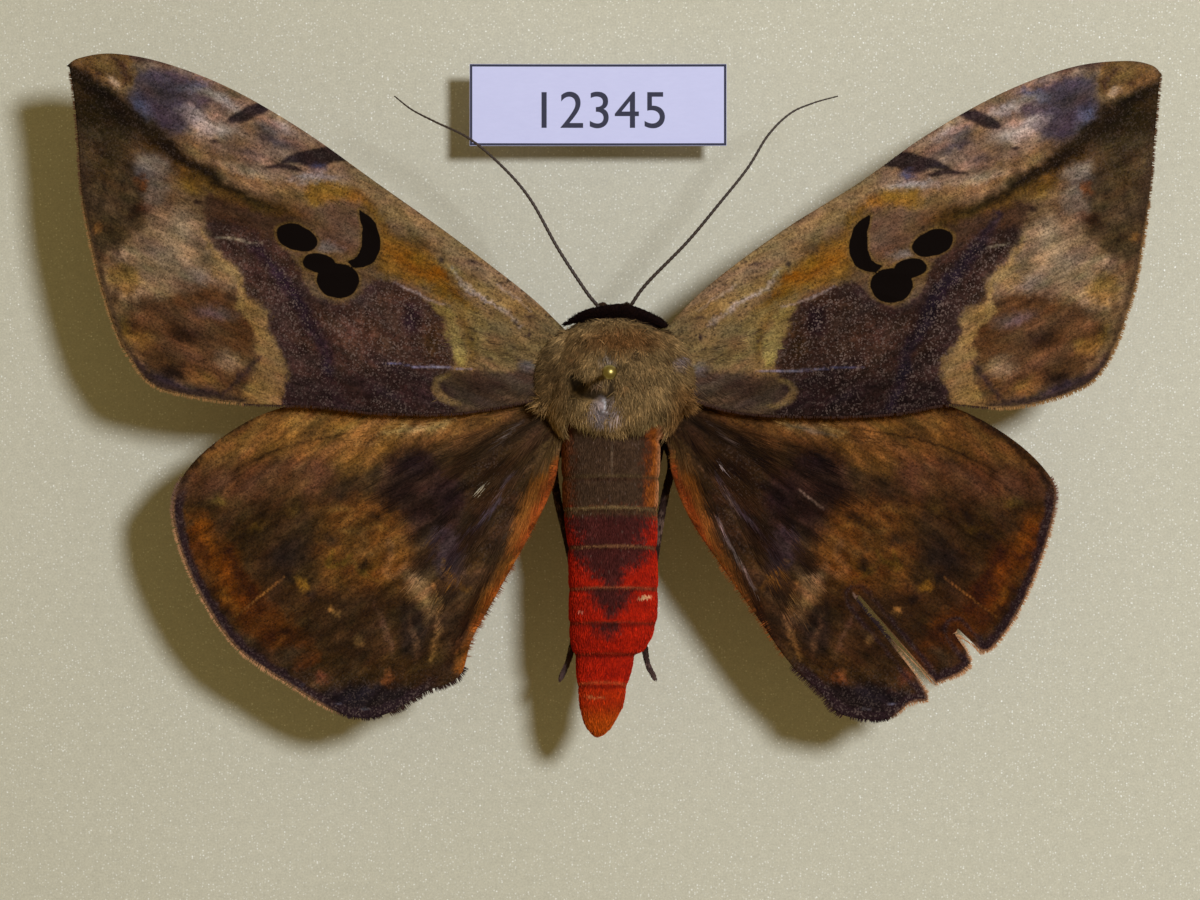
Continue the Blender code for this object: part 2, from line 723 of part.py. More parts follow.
def make_board(parent):
    """The foam board, with a blind hole for the pin."""
    bm = box((0, 0, BOARD_SIZE[2] / 2), BOARD_SIZE)
    bmesh.ops.bevel(
        bm, geom=bm.edges[:], offset=BOARD_EDGE, segments=2, profile=0.5, affect="EDGES", material=-1
    )
    board = new_object("pinning_board", bm, (0, 0, 0), "foam", parent)
    hole = cylinder(PIN_PLACE, PIN_RADIUS + GAP, PIN_TIP - GAP, BOARD_SIZE[2] + 1)
    apply_boolean(board, [helper("pin_hole", hole)], "DIFFERENCE")


def make_pin(parent):
    """The insect pin with its ball head, turned from one profile."""
    neck = PIN_TOP - 2 * PIN_HEAD_RADIUS
    start = math.asin(PIN_RADIUS / PIN_HEAD_RADIUS)
    profile = [(PIN_POINT, PIN_TIP), (PIN_RADIUS, PIN_TIP + PIN_TAPER)]
    for k in range(PIN_HEAD_RINGS):
        turn = start + (math.pi - start) * k / PIN_HEAD_RINGS
        rise = PIN_HEAD_RADIUS * (1 - math.cos(turn))
        profile.append((PIN_HEAD_RADIUS * math.sin(turn), neck + rise))
    rings = [((*PIN_PLACE, z), (r, 0, 0), (0, r, 0)) for r, z in profile]
    bm = loft(rings, PIN_SIDES)
    pin = new_object("insect_pin", bm, (*PIN_PLACE, PIN_TIP), "pin_metal", parent)
    shade(pin)


def box(centre, size):
    """A closed box."""
    bm = bmesh.new()
    bmesh.ops.create_cube(bm, size=1.0)
    bmesh.ops.scale(bm, verts=bm.verts, vec=size)
    bmesh.ops.translate(bm, verts=bm.verts, vec=centre)
    return bm


def make_label(parent):
    """The paper label on its small foam block."""
    under = BOARD_SIZE[2] + LABEL_HEIGHT
    block_low = BOARD_SIZE[2] + GAP
    block_high = under - GAP
    centre = (*LABEL_CENTRE, (block_low + block_high) / 2)
    block = box(centre, (*LABEL_BLOCK, block_high - block_low))
    new_object("label_block", block, centre, "foam", parent)
    centre = (*LABEL_CENTRE, under + LABEL_SIZE[2] / 2)
    new_object("label_card", box(centre, LABEL_SIZE), centre, "paper", parent)


def make_thorax(parent):
    """The furry thorax with its two shoulder lappets, open for the pin and the head."""
    origin = (MIDLINE, THORAX[5][0], WING_PLANE)
    thorax = new_object("thorax", loft(thorax_rings(), BODY_SIDES), origin, "thorax_fur", parent)
    lappets = [helper("lappet", loft(lappet_rings(side), LAPPET_SIDES)) for side in (-1, 1)]
    apply_boolean(thorax, lappets + lock_helpers(), "UNION")
    hole = cylinder(PIN_PLACE, PIN_RADIUS + GAP, BOARD_SIZE[2] + 1, PIN_TOP)
    apply_boolean(thorax, [helper("pin_hole", hole)], "DIFFERENCE")
    apply_boolean(thorax, [head_cutter(), eye_cutter(-1), eye_cutter(1)], "DIFFERENCE")
    shade(thorax, 50)


def make_collar(parent):
    """The dark crescent of scales behind the feelers."""
    rings = []
    for k, (out, y, up, half, tall) in enumerate(COLLAR):
        before, after = COLLAR[max(k - 1, 0)], COLLAR[min(k + 1, len(COLLAR) - 1)]
        ahead = Vector((after[0] - before[0], after[1] - before[1], 0)).normalized()
        beside = Vector((-ahead.y, ahead.x, 0))
        lean = Vector((0, COLLAR_LEAN, 1)).normalized()
        rings.append((on_body(1, out, y, up), beside * half, lean * tall))
    bm = loft(rings, COLLAR_SIDES)
    collar = new_object("collar", bm, on_body(1, 0, 9.2, 2), "collar_scales", parent)
    apply_boolean(collar, body_cutters(GAP), "DIFFERENCE")
    shade(collar)


def make_head(parent):
    """The head, tucked under the collar, with the eyes, palps and coiled tongue."""
    centre = on_body(1, *HEAD_CENTRE)
    head = new_object("head", ball(centre, HEAD_RADII), centre, "head_scales", parent)
    apply_boolean(head, [eye_cutter(-1), eye_cutter(1)], "DIFFERENCE")
    shade(head)
    for name, side in (("left", -1), ("right", 1)):
        place = on_body(side, *EYE_CENTRE)
        eye = new_object(f"eye_{name}", ball(place, [EYE_RADIUS] * 3, 16, 10), place, "eye", parent)
        shade(eye)
        stations = at_stations([(*on_body(side, *row[:3]), row[3]) for row in PALP], 10)
        bm = tube(stations, PALP_SIDES)
        palp = new_object(f"palp_{name}", bm, stations[0][:3], "head_scales", parent)
        apply_boolean(palp, [head_cutter(), eye_cutter(side)], "DIFFERENCE")
        shade(palp)
    make_tongue(parent)


def make_tongue(parent):
    """The tongue as a watch-spring coil under the face."""
    middle = on_body(1, *TONGUE_CENTRE)
    stations = []
    for k in range(TONGUE_RINGS):
        share = k / (TONGUE_RINGS - 1)
        reach = TONGUE_RADII[0] + (TONGUE_RADII[1] - TONGUE_RADII[0]) * share
        turn = 2 * math.pi * TONGUE_TURNS * (share - 1) + math.pi / 2
        y = middle[1] + reach * math.cos(turn)
        z = middle[2] + reach * math.sin(turn)
        stations.append((middle[0], y, z, TONGUE_THICKNESS * (0.7 + 0.3 * share)))
    tongue = new_object("tongue", tube(stations, 8), middle, "horn", parent)
    shade(tongue)


def make_antennae(parent):
    """The two thread-like feelers."""
    for name, route in ANTENNAE.items():
        share = np.linspace(0, 1, len(route))
        radii = np.interp(share, np.linspace(0, 1, len(ANTENNA_RADII)), ANTENNA_RADII)
        rows = [(x, y, WING_PLANE + up, r) for (x, y, up), r in zip(route, radii)]
        stations = at_stations(rows, ANTENNA_RINGS)
        feeler = new_object(
            f"antenna_{name}", tube(stations, ANTENNA_SIDES), stations[0][:3], "horn", parent
        )
        apply_boolean(feeler, [head_cutter()], "DIFFERENCE")
        shade(feeler)


def abdomen_table(grow=0.0):
    """Rows for the abdomen's ellipses: each ring of scales swells and ends in a step."""
    ys, xs, halves = (np.array(column) for column in zip(*ABDOMEN))

    def row(y, less):
        half = float(np.interp(-y, -ys, halves)) - less
        x = float(np.interp(-y, -ys, xs))
        share = (ys[0] - y) / (ys[0] - ys[-1])
        height = ABDOMEN_DROOP[0] + (ABDOMEN_DROOP[1] - ABDOMEN_DROOP[0]) * share
        return (y, x, half, height, half * ABDOMEN_FLATNESS)

    rows = []
    for start, end in zip(ABDOMEN_SEAMS, ABDOMEN_SEAMS[1:]):
        length = start - end
        rows.append(row(start, SEAM_STEP))
        rows += [row(start - share * length, less) for share, less in SEAM_RINGS]
        rows.append(row(end + SEAM_LIP[0], SEAM_LIP[1]))
    rows.append(row(ABDOMEN_SEAMS[-1], SEAM_STEP))
    rows.append(row(TAIL_RING, 0.0))
    rows += [row(y, 0.0) for y in ys[TAIL_START:]]
    return body_rings(rows, grow)


def make_abdomen(parent):
    """The abdomen with its overlapping rings."""
    origin = (MIDLINE, ABDOMEN[0][0], WING_PLANE + ABDOMEN_DROOP[0])
    bm = loft(abdomen_table(), ABDOMEN_SIDES)
    abdomen = new_object("abdomen", bm, origin, "abdomen_scales", parent)
    shade(abdomen, 30)


def make_leg(name, rows, side, parent):
    """One leg from its root on the body to its claws."""
    stations = at_stations([(*on_body(side, *row[:3]), row[3]) for row in rows], LEG_RINGS)
    leg = new_object(name, tube(stations, LEG_SIDES), stations[0][:3], "horn", parent)
    cutters = [helper("thorax_cutter", loft(thorax_rings(GAP), BODY_SIDES))]
    cutters.append(helper("abdomen_cutter", loft(abdomen_table(GAP), ABDOMEN_SIDES)))
    apply_boolean(leg, cutters, "DIFFERENCE")
    shade(leg)


def make_legs(parent):
    """Three pairs of legs, folded under the body and along the abdomen."""
    for name, side in (("left", -1), ("right", 1)):
        make_leg(f"leg_fore_{name}", FORE_LEG, side, parent)
        make_leg(f"leg_middle_{name}", MIDDLE_LEG, side, parent)
        make_leg(f"leg_hind_{name}", HIND_LEGS[name], side, parent)


def make_wings(parent):
    """The four wings, each cut clear of the thorax."""
    for name, side in (("left", -1), ("right", 1)):
        kinds = (
            ("forewing", FOREWING, FOREWING_VEINS, forewing_height, (5.0, 6.5)),
            ("hindwing", HINDWING, HINDWING_VEINS, hindwing_height, (4.5, 2.5)),
        )
        for kind, outlines, veins, height, root in kinds:
            origin = (MIDLINE + side * root[0], root[1], WING_PLANE)
            bm = wing(outlines[name], veins, height, side)
            made = new_object(f"{kind}_{name}", bm, origin, f"{kind}_scales", parent)
            apply_boolean(made, body_cutters(GAP), "DIFFERENCE")
            shade(made, 25)


def main():
    clear_scene()
    specimen = bpy.data.objects.new("specimen", None)
    bpy.context.scene.collection.objects.link(specimen)
    make_board(specimen)
    make_pin(specimen)
    make_label(specimen)
    make_thorax(specimen)
    make_collar(specimen)
    make_head(specimen)
    make_antennae(specimen)
    make_abdomen(specimen)
    make_legs(specimen)
    make_wings(specimen)


main()
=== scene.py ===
"""The looks of the pinned moth: scaled wings, furry body, brass pin, paper label and foam board.

Sizes are in millimetres, and a piece is turned into metres when it is built. Places on the moth
are (out, y) or (out, y, up): out from the body's midline, up from the wing plane. Colours are
written as the eye sees them, 0 to 255, and light_of() turns them into light.
"""

import math
from collections import namedtuple

import bmesh
import bpy
import numpy as np
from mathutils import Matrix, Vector
from mathutils.geometry import delaunay_2d_cdt


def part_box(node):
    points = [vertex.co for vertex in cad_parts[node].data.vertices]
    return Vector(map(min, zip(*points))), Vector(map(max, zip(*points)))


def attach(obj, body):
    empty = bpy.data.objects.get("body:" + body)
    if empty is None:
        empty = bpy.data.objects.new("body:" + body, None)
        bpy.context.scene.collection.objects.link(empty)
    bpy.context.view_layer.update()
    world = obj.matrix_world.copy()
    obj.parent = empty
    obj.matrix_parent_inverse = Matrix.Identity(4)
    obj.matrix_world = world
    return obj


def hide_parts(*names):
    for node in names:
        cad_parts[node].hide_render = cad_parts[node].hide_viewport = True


MM = 0.001
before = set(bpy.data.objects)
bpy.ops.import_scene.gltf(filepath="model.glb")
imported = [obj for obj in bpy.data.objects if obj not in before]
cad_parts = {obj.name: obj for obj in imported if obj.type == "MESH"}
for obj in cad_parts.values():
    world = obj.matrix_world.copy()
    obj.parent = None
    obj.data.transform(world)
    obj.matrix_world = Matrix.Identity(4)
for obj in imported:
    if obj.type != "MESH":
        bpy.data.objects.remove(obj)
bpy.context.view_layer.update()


def box_of(node):
    """A node's lowest and highest corners in millimetres."""
    return [np.array(corner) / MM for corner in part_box(node)]


BOARD_TOP = box_of("pinning_board")[1][2]
WING_PLANE = BOARD_TOP + 11.0
MIDLINE = 1.0
SIDES = {"left": -1, "right": 1}
CAMERA_HEIGHT = 280.0
SENSOR_WIDTH = 36.0
PHOTO_WIDTH = 1200
PIXELS_PER_MM = 14.7
KEY_WAY = (4.1, 2.4, 11.0)
KEY_DISTANCE = 0.4
KEY_WIDTH = 0.057
KEY_WATTS = 1.47
KEY_TINT = (0.83, 0.89, 1.0)
FILL_TINT = (1.0, 0.8, 0.36, 1.0)
FILL_STRENGTH = 0.26


# Numbers

def columns(*parts):
    """Columns side by side. A single number fills its column."""
    return np.stack(np.broadcast_arrays(*parts), axis=1)


def unit(rows):
    """Each row's direction, of length one."""
    return rows / (np.linalg.norm(rows, axis=1)[:, None] + 1e-9)


def light_of(colour):
    """A colour as the eye sees it, 0 to 255, as linear light."""
    share = np.asarray(colour, float) / 255
    return np.where(share <= 0.04045, share / 12.92, ((share + 0.055) / 1.055) ** 2.4)


def plain(places, colour):
    """One colour for all these places."""
    return np.tile(light_of(colour), (len(places), 1))


def ease(low, high, value):
    """0 below low, 1 above high, and smooth between."""
    share = np.clip((value - low) / (high - low), 0, 1)
    return share * share * (3 - 2 * share)


def scatter(cells, seed):
    """A random number from -1 to 1 for each whole-numbered cell."""
    mix = np.sin(cells @ np.array([127.1, 311.7, 74.7][: cells.shape[1]]) + seed * 53.1) * 43758.5453
    return 2 * (mix - np.floor(mix)) - 1


def noise(places, size, seed):
    """Smooth random values from -1 to 1 that change over about this size."""
    cell = places / np.asarray(size, float)
    low = np.floor(cell)
    part = cell - low
    part = part * part * (3 - 2 * part)
    total = np.zeros(len(places))
    axes = places.shape[1]
    for corner in range(2**axes):
        step = np.array([(corner >> k) & 1 for k in range(axes)])
        share = np.prod(np.where(step, part, 1 - part), axis=1)
        total += share * scatter(low + step, seed)
    return total


def cloud(places, size, seed, layers=3):
    """Noise with finer layers on it."""
    parts = [noise(places, np.asarray(size) / 2**k, seed + 7 * k) / 2**k for k in range(layers)]
    return sum(parts) / 1.6


def smooth_curve(points, step):
    """Points at about this spacing along a Catmull-Rom curve through the given ones."""
    knots = np.array(points, float)
    padded = np.vstack([2 * knots[0] - knots[1], knots, 2 * knots[-1] - knots[-2]])
    found = []
    for i in range(1, len(padded) - 2):
        a, b, c, d = padded[i - 1 : i + 3]
        count = max(1, round(float(np.linalg.norm((c - b)[:3])) / step))
        for t in np.arange(count) / count:
            bend = (2 * a - 5 * b + 4 * c - d) * t**2 + (3 * b - a - 3 * c + d) * t**3
            found.append(0.5 * (2 * b + (c - a) * t + bend))
    found.append(knots[-1])
    return np.array(found)


def at_stations(points, count):
    """Points spread evenly, by length, along a smooth curve through the given ones."""
    fine = smooth_curve(points, 0.1)
    steps = np.linalg.norm(np.diff(fine[:, :3], axis=0), axis=1)
    along = np.concatenate([[0.0], np.cumsum(steps)])
    wanted = np.linspace(0.0, along[-1], count)
    return np.stack([np.interp(wanted, along, column) for column in fine.T], axis=1)


def line_distance(places, line):
    """Each place's distance to a polyline, and where along it that is, from 0 to 1."""
    line = np.asarray(line, float)[:, :2]
    best = np.full(len(places), 1e9)
    where = np.zeros(len(places))
    for k, (a, b) in enumerate(zip(line, line[1:])):
        along = b - a
        share = np.clip((places - a) @ along / max(float(along @ along), 1e-9), 0, 1)
        reach = np.linalg.norm(places - a - share[:, None] * along, axis=1)
        nearer = reach < best
        best = np.where(nearer, reach, best)
        where = np.where(nearer, (k + share) / (len(line) - 1), where)
    return best, where


def inside(places, outline):
    """Which places lie inside the closed outline."""
    x, y = places[:, 0], places[:, 1]
    found = np.zeros(len(places), bool)
    for (x0, y0), (x1, y1) in zip(outline, np.roll(outline, -1, axis=0)):
        if y0 != y1:
            crosses = (y0 > y) != (y1 > y)
            found ^= crosses & (x < (x1 - x0) * (y - y0) / (y1 - y0) + x0)
    return found


# Shader maths

class Wire:
    """A shader value that can be added, subtracted and multiplied."""

    def __init__(self, shader, socket):
        self.shader = shader
        self.socket = socket

    def maths(self, operation, first, second):
        """A Math node on two values."""
        return self.shader.node("ShaderNodeMath", {"operation": operation}, {0: first, 1: second})


for name, operation in (("add", "ADD"), ("sub", "SUBTRACT"), ("mul", "MULTIPLY")):
    setattr(Wire, f"__{name}__", lambda wire, other, kind=operation: wire.maths(kind, wire, other))
    setattr(Wire, f"__r{name}__", lambda wire, other, kind=operation: wire.maths(kind, other, wire))


class Shader:
    """One material's nodes."""

    def __init__(self, name):
        self.material = bpy.data.materials.new(name)
        self.material.use_nodes = True
        self.tree = self.material.node_tree
        self.tree.nodes.clear()
        self.out = self.tree.nodes.new("ShaderNodeOutputMaterial")

    def feed(self, socket, value):
        """Sets a socket, or links it where the value is a wire."""
        if isinstance(value, Wire):
            self.tree.links.new(value.socket, socket)
        else:
            socket.default_value = value

    def node(self, kind, settings=None, values=None, output=0):
        """A new node with its settings, then its sockets' values or links, and one output."""
        made = self.tree.nodes.new(kind)
        for key, value in (settings or {}).items():
            setattr(made, key, value)
        for key, value in (values or {}).items():
            self.feed(made.inputs[key], value)
        return Wire(self, made.outputs[output])

    def place(self):
        """The place in metres, in the object's own frame."""
        return self.node("ShaderNodeTexCoord", output="Object")

    def named(self, name, output="Fac"):
        """A named attribute of the mesh."""
        return self.node("ShaderNodeAttribute", {"attribute_name": name}, output=output)

    def moved(self, place, scale):
        """The place with each axis scaled."""
        return self.node("ShaderNodeMapping", values={"Vector": place, "Scale": scale})

    def noise(self, place, scale, detail=2.0, rough=0.5):
        """Noise from 0 to 1."""
        values = {"Vector": place, "Scale": scale, "Detail": detail, "Roughness": rough}
        return self.node("ShaderNodeTexNoise", values=values, output="Fac")

    def cells(self, place, scale, output="Color"):
        """Voronoi cells: their random colour or the distance to their centres."""
        values = {"Vector": place, "Scale": scale}
        return self.node("ShaderNodeTexVoronoi", values=values, output=output)

    def part(self, colour, channel=0):
        """One channel of a colour."""
        return self.node("ShaderNodeSeparateColor", values={0: colour}, output=channel)

    def rise(self, value, low, high):
        """0 below low, 1 above high, and smooth between."""
        settings = {"interpolation_type": "SMOOTHSTEP"}
        values = {"Value": value, "From Min": low, "From Max": high}
        return self.node("ShaderNodeMapRange", settings, values)

    def mix(self, share, first, second):
        """Two colours mixed."""
        made = self.tree.nodes.new("ShaderNodeMix")
        made.data_type = "RGBA"
        sockets = [s for s in made.inputs if s.name in ("A", "B") and s.type == "RGBA"]
        for socket, value in zip([made.inputs[0], *sockets], (share, first, second)):
            self.feed(socket, value)
        return Wire(self, next(s for s in made.outputs if s.type == "RGBA"))

    def scaled(self, colour, factor):
        """A colour made brighter or darker by a number."""
        values = {0: colour, "Scale": factor}
        return self.node("ShaderNodeVectorMath", {"operation": "SCALE"}, values)

    def bump(self, height, strength, depth):
        """A bump normal of this depth in millimetres."""
        values = {"Height": height, "Strength": strength, "Distance": depth * MM}
        return self.node("ShaderNodeBump", values=values, output="Normal")

    def finish(self, **values):
        """The surface, with its sockets set by name."""
        named = {key.replace("_", " "): value for key, value in values.items()}
        surface = self.node("ShaderNodeBsdfPrincipled", values=named)
        self.tree.links.new(surface.socket, self.out.inputs["Surface"])
        return self.material


def rgba(colour):
    """A seen colour as a shader's four numbers."""
    return (*[float(c) for c in light_of(colour)], 1.0)


# Pieces

DARKEST = 0.003


def placed(name, data):
    """A new object in the scene."""
    made = bpy.data.objects.new(name, data)
    bpy.context.scene.collection.objects.link(made)
    return made


def settled(thing):
    """An object's finished mesh, with the object itself removed."""
    bpy.context.view_layer.update()
    graph = bpy.context.evaluated_depsgraph_get()
    mesh = bpy.data.meshes.new_from_object(thing.evaluated_get(graph))
    bpy.data.objects.remove(thing, do_unlink=True)
    return mesh


def new_piece(name, bm, material, smooth=True):
    """Turns a bmesh in millimetres into a piece of the moth, in metres."""
    bmesh.ops.scale(bm, verts=bm.verts, vec=(MM, MM, MM))
    mesh = bpy.data.meshes.new(name)
    bm.to_mesh(mesh)
    bm.free()
    return add_piece(name, mesh, material, smooth)


def add_piece(name, mesh, material, smooth=True):
    """Puts a finished mesh in the scene, on the CAD model's one body."""
    made = placed(name, mesh)
    mesh.materials.clear()
    mesh.materials.append(material)
    if smooth:
        mesh.shade_smooth()
    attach(made, "root")
    return made


def numbers_of(elements, key, width, kind=np.float32):
    """One property of a mesh's elements, a row for each."""
    flat = np.zeros(len(elements) * width, kind)
    elements.foreach_get(key, flat)
    return flat.reshape(-1, width)


def places_of(mesh):
    """A mesh's vertices in millimetres."""
    return numbers_of(mesh.vertices, "co", 3).astype(float) / MM


def normals_of(mesh):
    """A mesh's vertex normals."""
    return numbers_of(mesh.vertex_normals, "vector", 3).astype(float)


def give_colour(mesh, colours):
    """Stores a colour for each vertex."""
    full = np.ones((len(colours), 4), np.float32)
    full[:, :3] = np.clip(colours, DARKEST, 1)
    mesh.attributes.new("tint", "FLOAT_COLOR", "POINT").data.foreach_set("color", full.ravel())


def give_number(mesh, name, numbers):
    """Stores a number for each vertex."""
    layer = mesh.attributes.new(name, "FLOAT", "POINT")
    layer.data.foreach_set("value", np.asarray(numbers, np.float32))


def give_unwrap(mesh, uv):
    """Stores the unwrap, a place for each face corner."""
    mesh.uv_layers.new(name="OFBake").data.foreach_set("uv", uv.astype(np.float32).ravel())


def ring(bm, centre, across, up, sides):
    """A closed loop of edges: an ellipse spanned by two half axes."""
    turn = [2 * math.pi * k / sides for k in range(sides)]
    corners = [
        bm.verts.new(Vector(centre) + Vector(across) * math.cos(a) + Vector(up) * math.sin(a))
        for a in turn
    ]
    return [bm.edges.new((corners[k], corners[(k + 1) % sides])) for k in range(sides)]


def loft(rings, sides):
    """A closed skin over ellipses given as (centre, half axis across, half axis up)."""
    bm = bmesh.new()
    loops = [ring(bm, *one, sides) for one in rings]
    for first, second in zip(loops, loops[1:]):
        bmesh.ops.bridge_loops(bm, edges=first + second)
    for end in (loops[0], loops[-1]):
        bmesh.ops.edgenet_fill(bm, edges=end)
    bmesh.ops.recalc_face_normals(bm, faces=bm.faces)
    return bm


def tube(stations, sides):
    """A closed tube along (x, y, z, radius) stations, with its rings square to the path."""
    places = [Vector(s[:3]) for s in stations]
    rings = []
    across = None
    for k, place in enumerate(places):
        ahead = places[min(k + 1, len(places) - 1)] - places[max(k - 1, 0)]
        ahead.normalize()
        across = ahead.orthogonal() if across is None else across - ahead * across.dot(ahead)
        across.normalize()
        radius = float(stations[k][3])
        rings.append((place, across * radius, ahead.cross(across) * radius))
    return loft(rings, sides)


def ball(centre, radii, across=48, rows=32):
    """A closed ellipsoid."""
    bm = bmesh.new()
    bmesh.ops.create_uvsphere(bm, u_segments=across, v_segments=rows, radius=1.0)
    bmesh.ops.scale(bm, verts=bm.verts, vec=radii)
    bmesh.ops.translate(bm, verts=bm.verts, vec=centre)
    return bm


def on_body(side, out, y, up):
    """A place given as out from the midline, y and up from the wing plane."""
    return (MIDLINE + side * out, y, WING_PLANE + up)


# Wing shapes, in the CAD model's own numbers

FOREWING = {
    "left": [
        [(3.2, 8), (6, 10.65), (11, 14.5), (16, 18.05), (21, 21.6), (26, 24.5),
         (30.5, 26.25), (34, 26.9), (36.3, 26.6), (37.2, 26.05)],
        [(37.2, 26.05), (36.9, 24.4), (36.6, 21.2), (36.3, 17), (35.4, 12.5), (34.7, 10.05),
         (33.85, 7.6), (32.9, 5.9), (31.6, 4.35), (29.3, 3.55), (25.1, 2.95), (20.5, 2.8),
         (16, 2.35), (11, 2.3), (6.5, 3), (3.2, 3.9)],
    ],
    "right": [
        [(3.2, 8), (6.4, 11.2), (11.3, 14.85), (16.5, 18.1), (21.1, 21.35), (26.2, 24.2),
         (30.9, 25.95), (34.5, 26.4), (36.4, 26.1), (37.15, 25.4)],
        [(37.15, 25.4), (37, 23.7), (36.7, 20), (36.35, 16.2), (35.6, 11.5), (34.9, 9.05),
         (34.2, 7.1), (33.3, 5.4), (31.9, 4.1), (29, 3.05), (26.2, 2.65), (22.5, 2.9),
         (19, 2.3), (14, 2.1), (9, 2.3), (6, 3), (3.2, 3.9)],
    ],
}
HINDWING = {
    "left": [
        [(3, 4.2), (8, 4.9), (14, 4.6), (20, 3.7), (24.1, 2.6), (27.3, 0.7),
         (29.4, -1.4), (30.3, -3.6), (29.9, -6.4), (28.4, -10), (25.8, -13.7), (22.2, -16.2),
         (19.4, -17.85), (17.3, -18.45), (15.3, -18.1), (12.7, -16.6), (11.3, -16.1),
         (10.2, -15.2), (9.5, -12.9), (7.9, -10), (6, -6.4), (4.2, -2.5), (3.7, 0),
         (3, 1.6)],
    ],
    "right": [
        [(3, 4.2), (8, 4.9), (14, 4.6), (20, 3.9), (24, 2.75), (27.6, 0.6),
         (29.9, -1.8), (30.25, -3.6), (29.45, -6.9), (27.8, -10.9), (26, -13.5),
         (25, -14)],
        [(23.25, -12.3), (24.45, -14.3), (23.8, -15.3), (21.8, -16.15)],
        [(16.5, -10), (21.4, -16.4), (20.1, -17.5), (18.6, -18.5), (16.6, -18.5), (15, -18),
         (13.9, -16.7), (11.9, -14.8), (9.8, -11.85), (7.5, -8.55), (5.1, -4.7), (3.9, -1.6),
         (3.7, 0), (3, 1.6)],
    ],
}
FOREWING_VEINS = [
    [(4, 7.5), (10, 12.3), (16, 16.7), (21.5, 20.6)],
    [(4, 6.8), (10, 11), (17, 15.6), (23, 19.6), (29, 24.2)],
    [(18, 16.2), (24, 19), (30, 22), (35.6, 24.9)],
    [(17.4, 14.9), (24, 16.4), (30, 18.3), (35.8, 20.4)],
    [(17.7, 16), (17, 14), (17.4, 12.1)],
    [(4, 6.1), (9, 8.7), (13, 10.5), (17.4, 12.1)],
    [(17.4, 12.8), (24, 13.5), (30, 14.6), (35.3, 15.6)],
    [(17.4, 12.1), (24, 11.6), (30, 11.3), (34.8, 11)],
    [(15.4, 11.3), (22, 9.5), (28, 8.1), (33.4, 7)],
    [(12.3, 10.2), (18, 7.9), (24, 5.9), (30.4, 4.3)],
    [(4, 5.3), (10, 5.4), (17, 5.4), (23, 4.4), (26.6, 3.6)],
]
HINDWING_VEINS = [
    [(4, 3.6), (12, 3.2), (20, 1.7), (27, -0.1)],
    [(4, 2.9), (12, 1), (20, -1.2), (29.2, -4.2)],
    [(13.6, 0.6), (21, -3.6), (28.3, -7.8)],
    [(13.6, 0.6), (12.2, -1.6), (12.6, -3.8)],
    [(12.4, -2.9), (20, -8), (25.4, -12.2)],
    [(4, 2.2), (8.4, -0.6), (12.6, -3.8), (17.8, -9.2), (22.6, -14.7)],
    [(11.4, -2.9), (15.3, -9.6), (19.1, -17)],
    [(9.6, -1.5), (12.8, -9.5), (16, -17.2)],
    [(4.2, 1.4), (8.2, -5.5), (11.6, -13)],
]
CREASE = [(36.4, 25.2), (30, 20.4), (24, 16.6), (19.5, 9.5), (17, 3)]
WING_LIFT = 0.6
WING_REACH = 38.0
FOREWING_ARCH = 0.7
HINDWING_ARCH = 0.45
CREASE_RISE = 0.3
CREASE_BREADTH = 2.6
MEMBRANE = 0.14
MESH_STEP = 0.14
VEIN_RISE = 0.09
VEIN_BREADTH = 0.35
FRINGE = 0.2
FRINGE_START = (4.0, 8.0)
COSTA_FRINGE = 0.15
OUTLINE_STEP = 0.5
UNWRAP_REACH = 40.0
UNWRAP_DEPTH = 52.0
SCALES_PER_METRE = 10500.0


def forewing_height(places):
    """The forewing's middle surface over the wing plane: an arch with a leaf-like crease."""
    arch = FOREWING_ARCH * np.sin(math.pi * np.clip(places[:, 0] / WING_REACH, 0, 1))
    reach, _ = line_distance(places, smooth_curve(CREASE, 2.0))
    fold = CREASE_RISE * np.exp(-((reach / CREASE_BREADTH) ** 2))
    return WING_LIFT + arch + fold * np.clip((places[:, 1] - 5.0) / 4.0, 0, 1)


def hindwing_height(places):
    """The hindwing's middle surface under the wing plane, falling towards the hind edge."""
    reach = np.linalg.norm(places - np.array([4.0, 3.0]), axis=1)
    arch = HINDWING_ARCH * np.sin(math.pi * np.clip(reach / (0.75 * WING_REACH), 0, 1))
    return -WING_LIFT + arch * np.clip((6.0 - places[:, 1]) / 8.0, 0.3, 1)


def wing_outline(arcs, step):
    """One closed outline from arcs that are smooth inside and meet at corners."""
    pieces = []
    for arc in arcs:
        line = smooth_curve(arc, step)
        if pieces and np.allclose(pieces[-1][-1], line[0]):
            line = line[1:]
        pieces.append(line)
    return np.vstack(pieces)


def pulled_in(outline, amounts):
    """The outline moved inwards by an amount at each point."""
    ahead = unit(np.roll(outline, -1, axis=0) - np.roll(outline, 1, axis=0))
    inwards = columns(ahead[:, 1], -ahead[:, 0])
    x, y = outline.T
    area = np.sum(x * np.roll(y, -1) - y * np.roll(x, -1))
    if area > 0:
        inwards = -inwards
    return outline + inwards * np.reshape(amounts, (-1, 1))


def root_angle(places, root):
    """Each place's distance and direction from the wing's root."""
    away = places - np.asarray(root)
    reach = np.linalg.norm(away, axis=1)
    turn = np.arctan2(away[:, 1], away[:, 0])
    return reach, turn


# Markings, laid on in order, each with its colour, softness and shape

INK_SPOTS = [
    (21.5, 14.35, 1.46, 0.88, 20),
    (19.95, 12.6, 1.2, 0.68, 14),
    (18.72, 11.45, 1.43, 1.2, 4),
    [(17.28, 16.25, 0.03), (16.98, 15.75, 0.3), (16.62, 15.1, 0.52), (16.48, 14.4, 0.62),
     (16.5, 13.7, 0.62), (16.72, 13.15, 0.6), (17.15, 12.75, 0.46), (17.6, 12.62, 0.32),
     (18, 12.72, 0.1)],
]

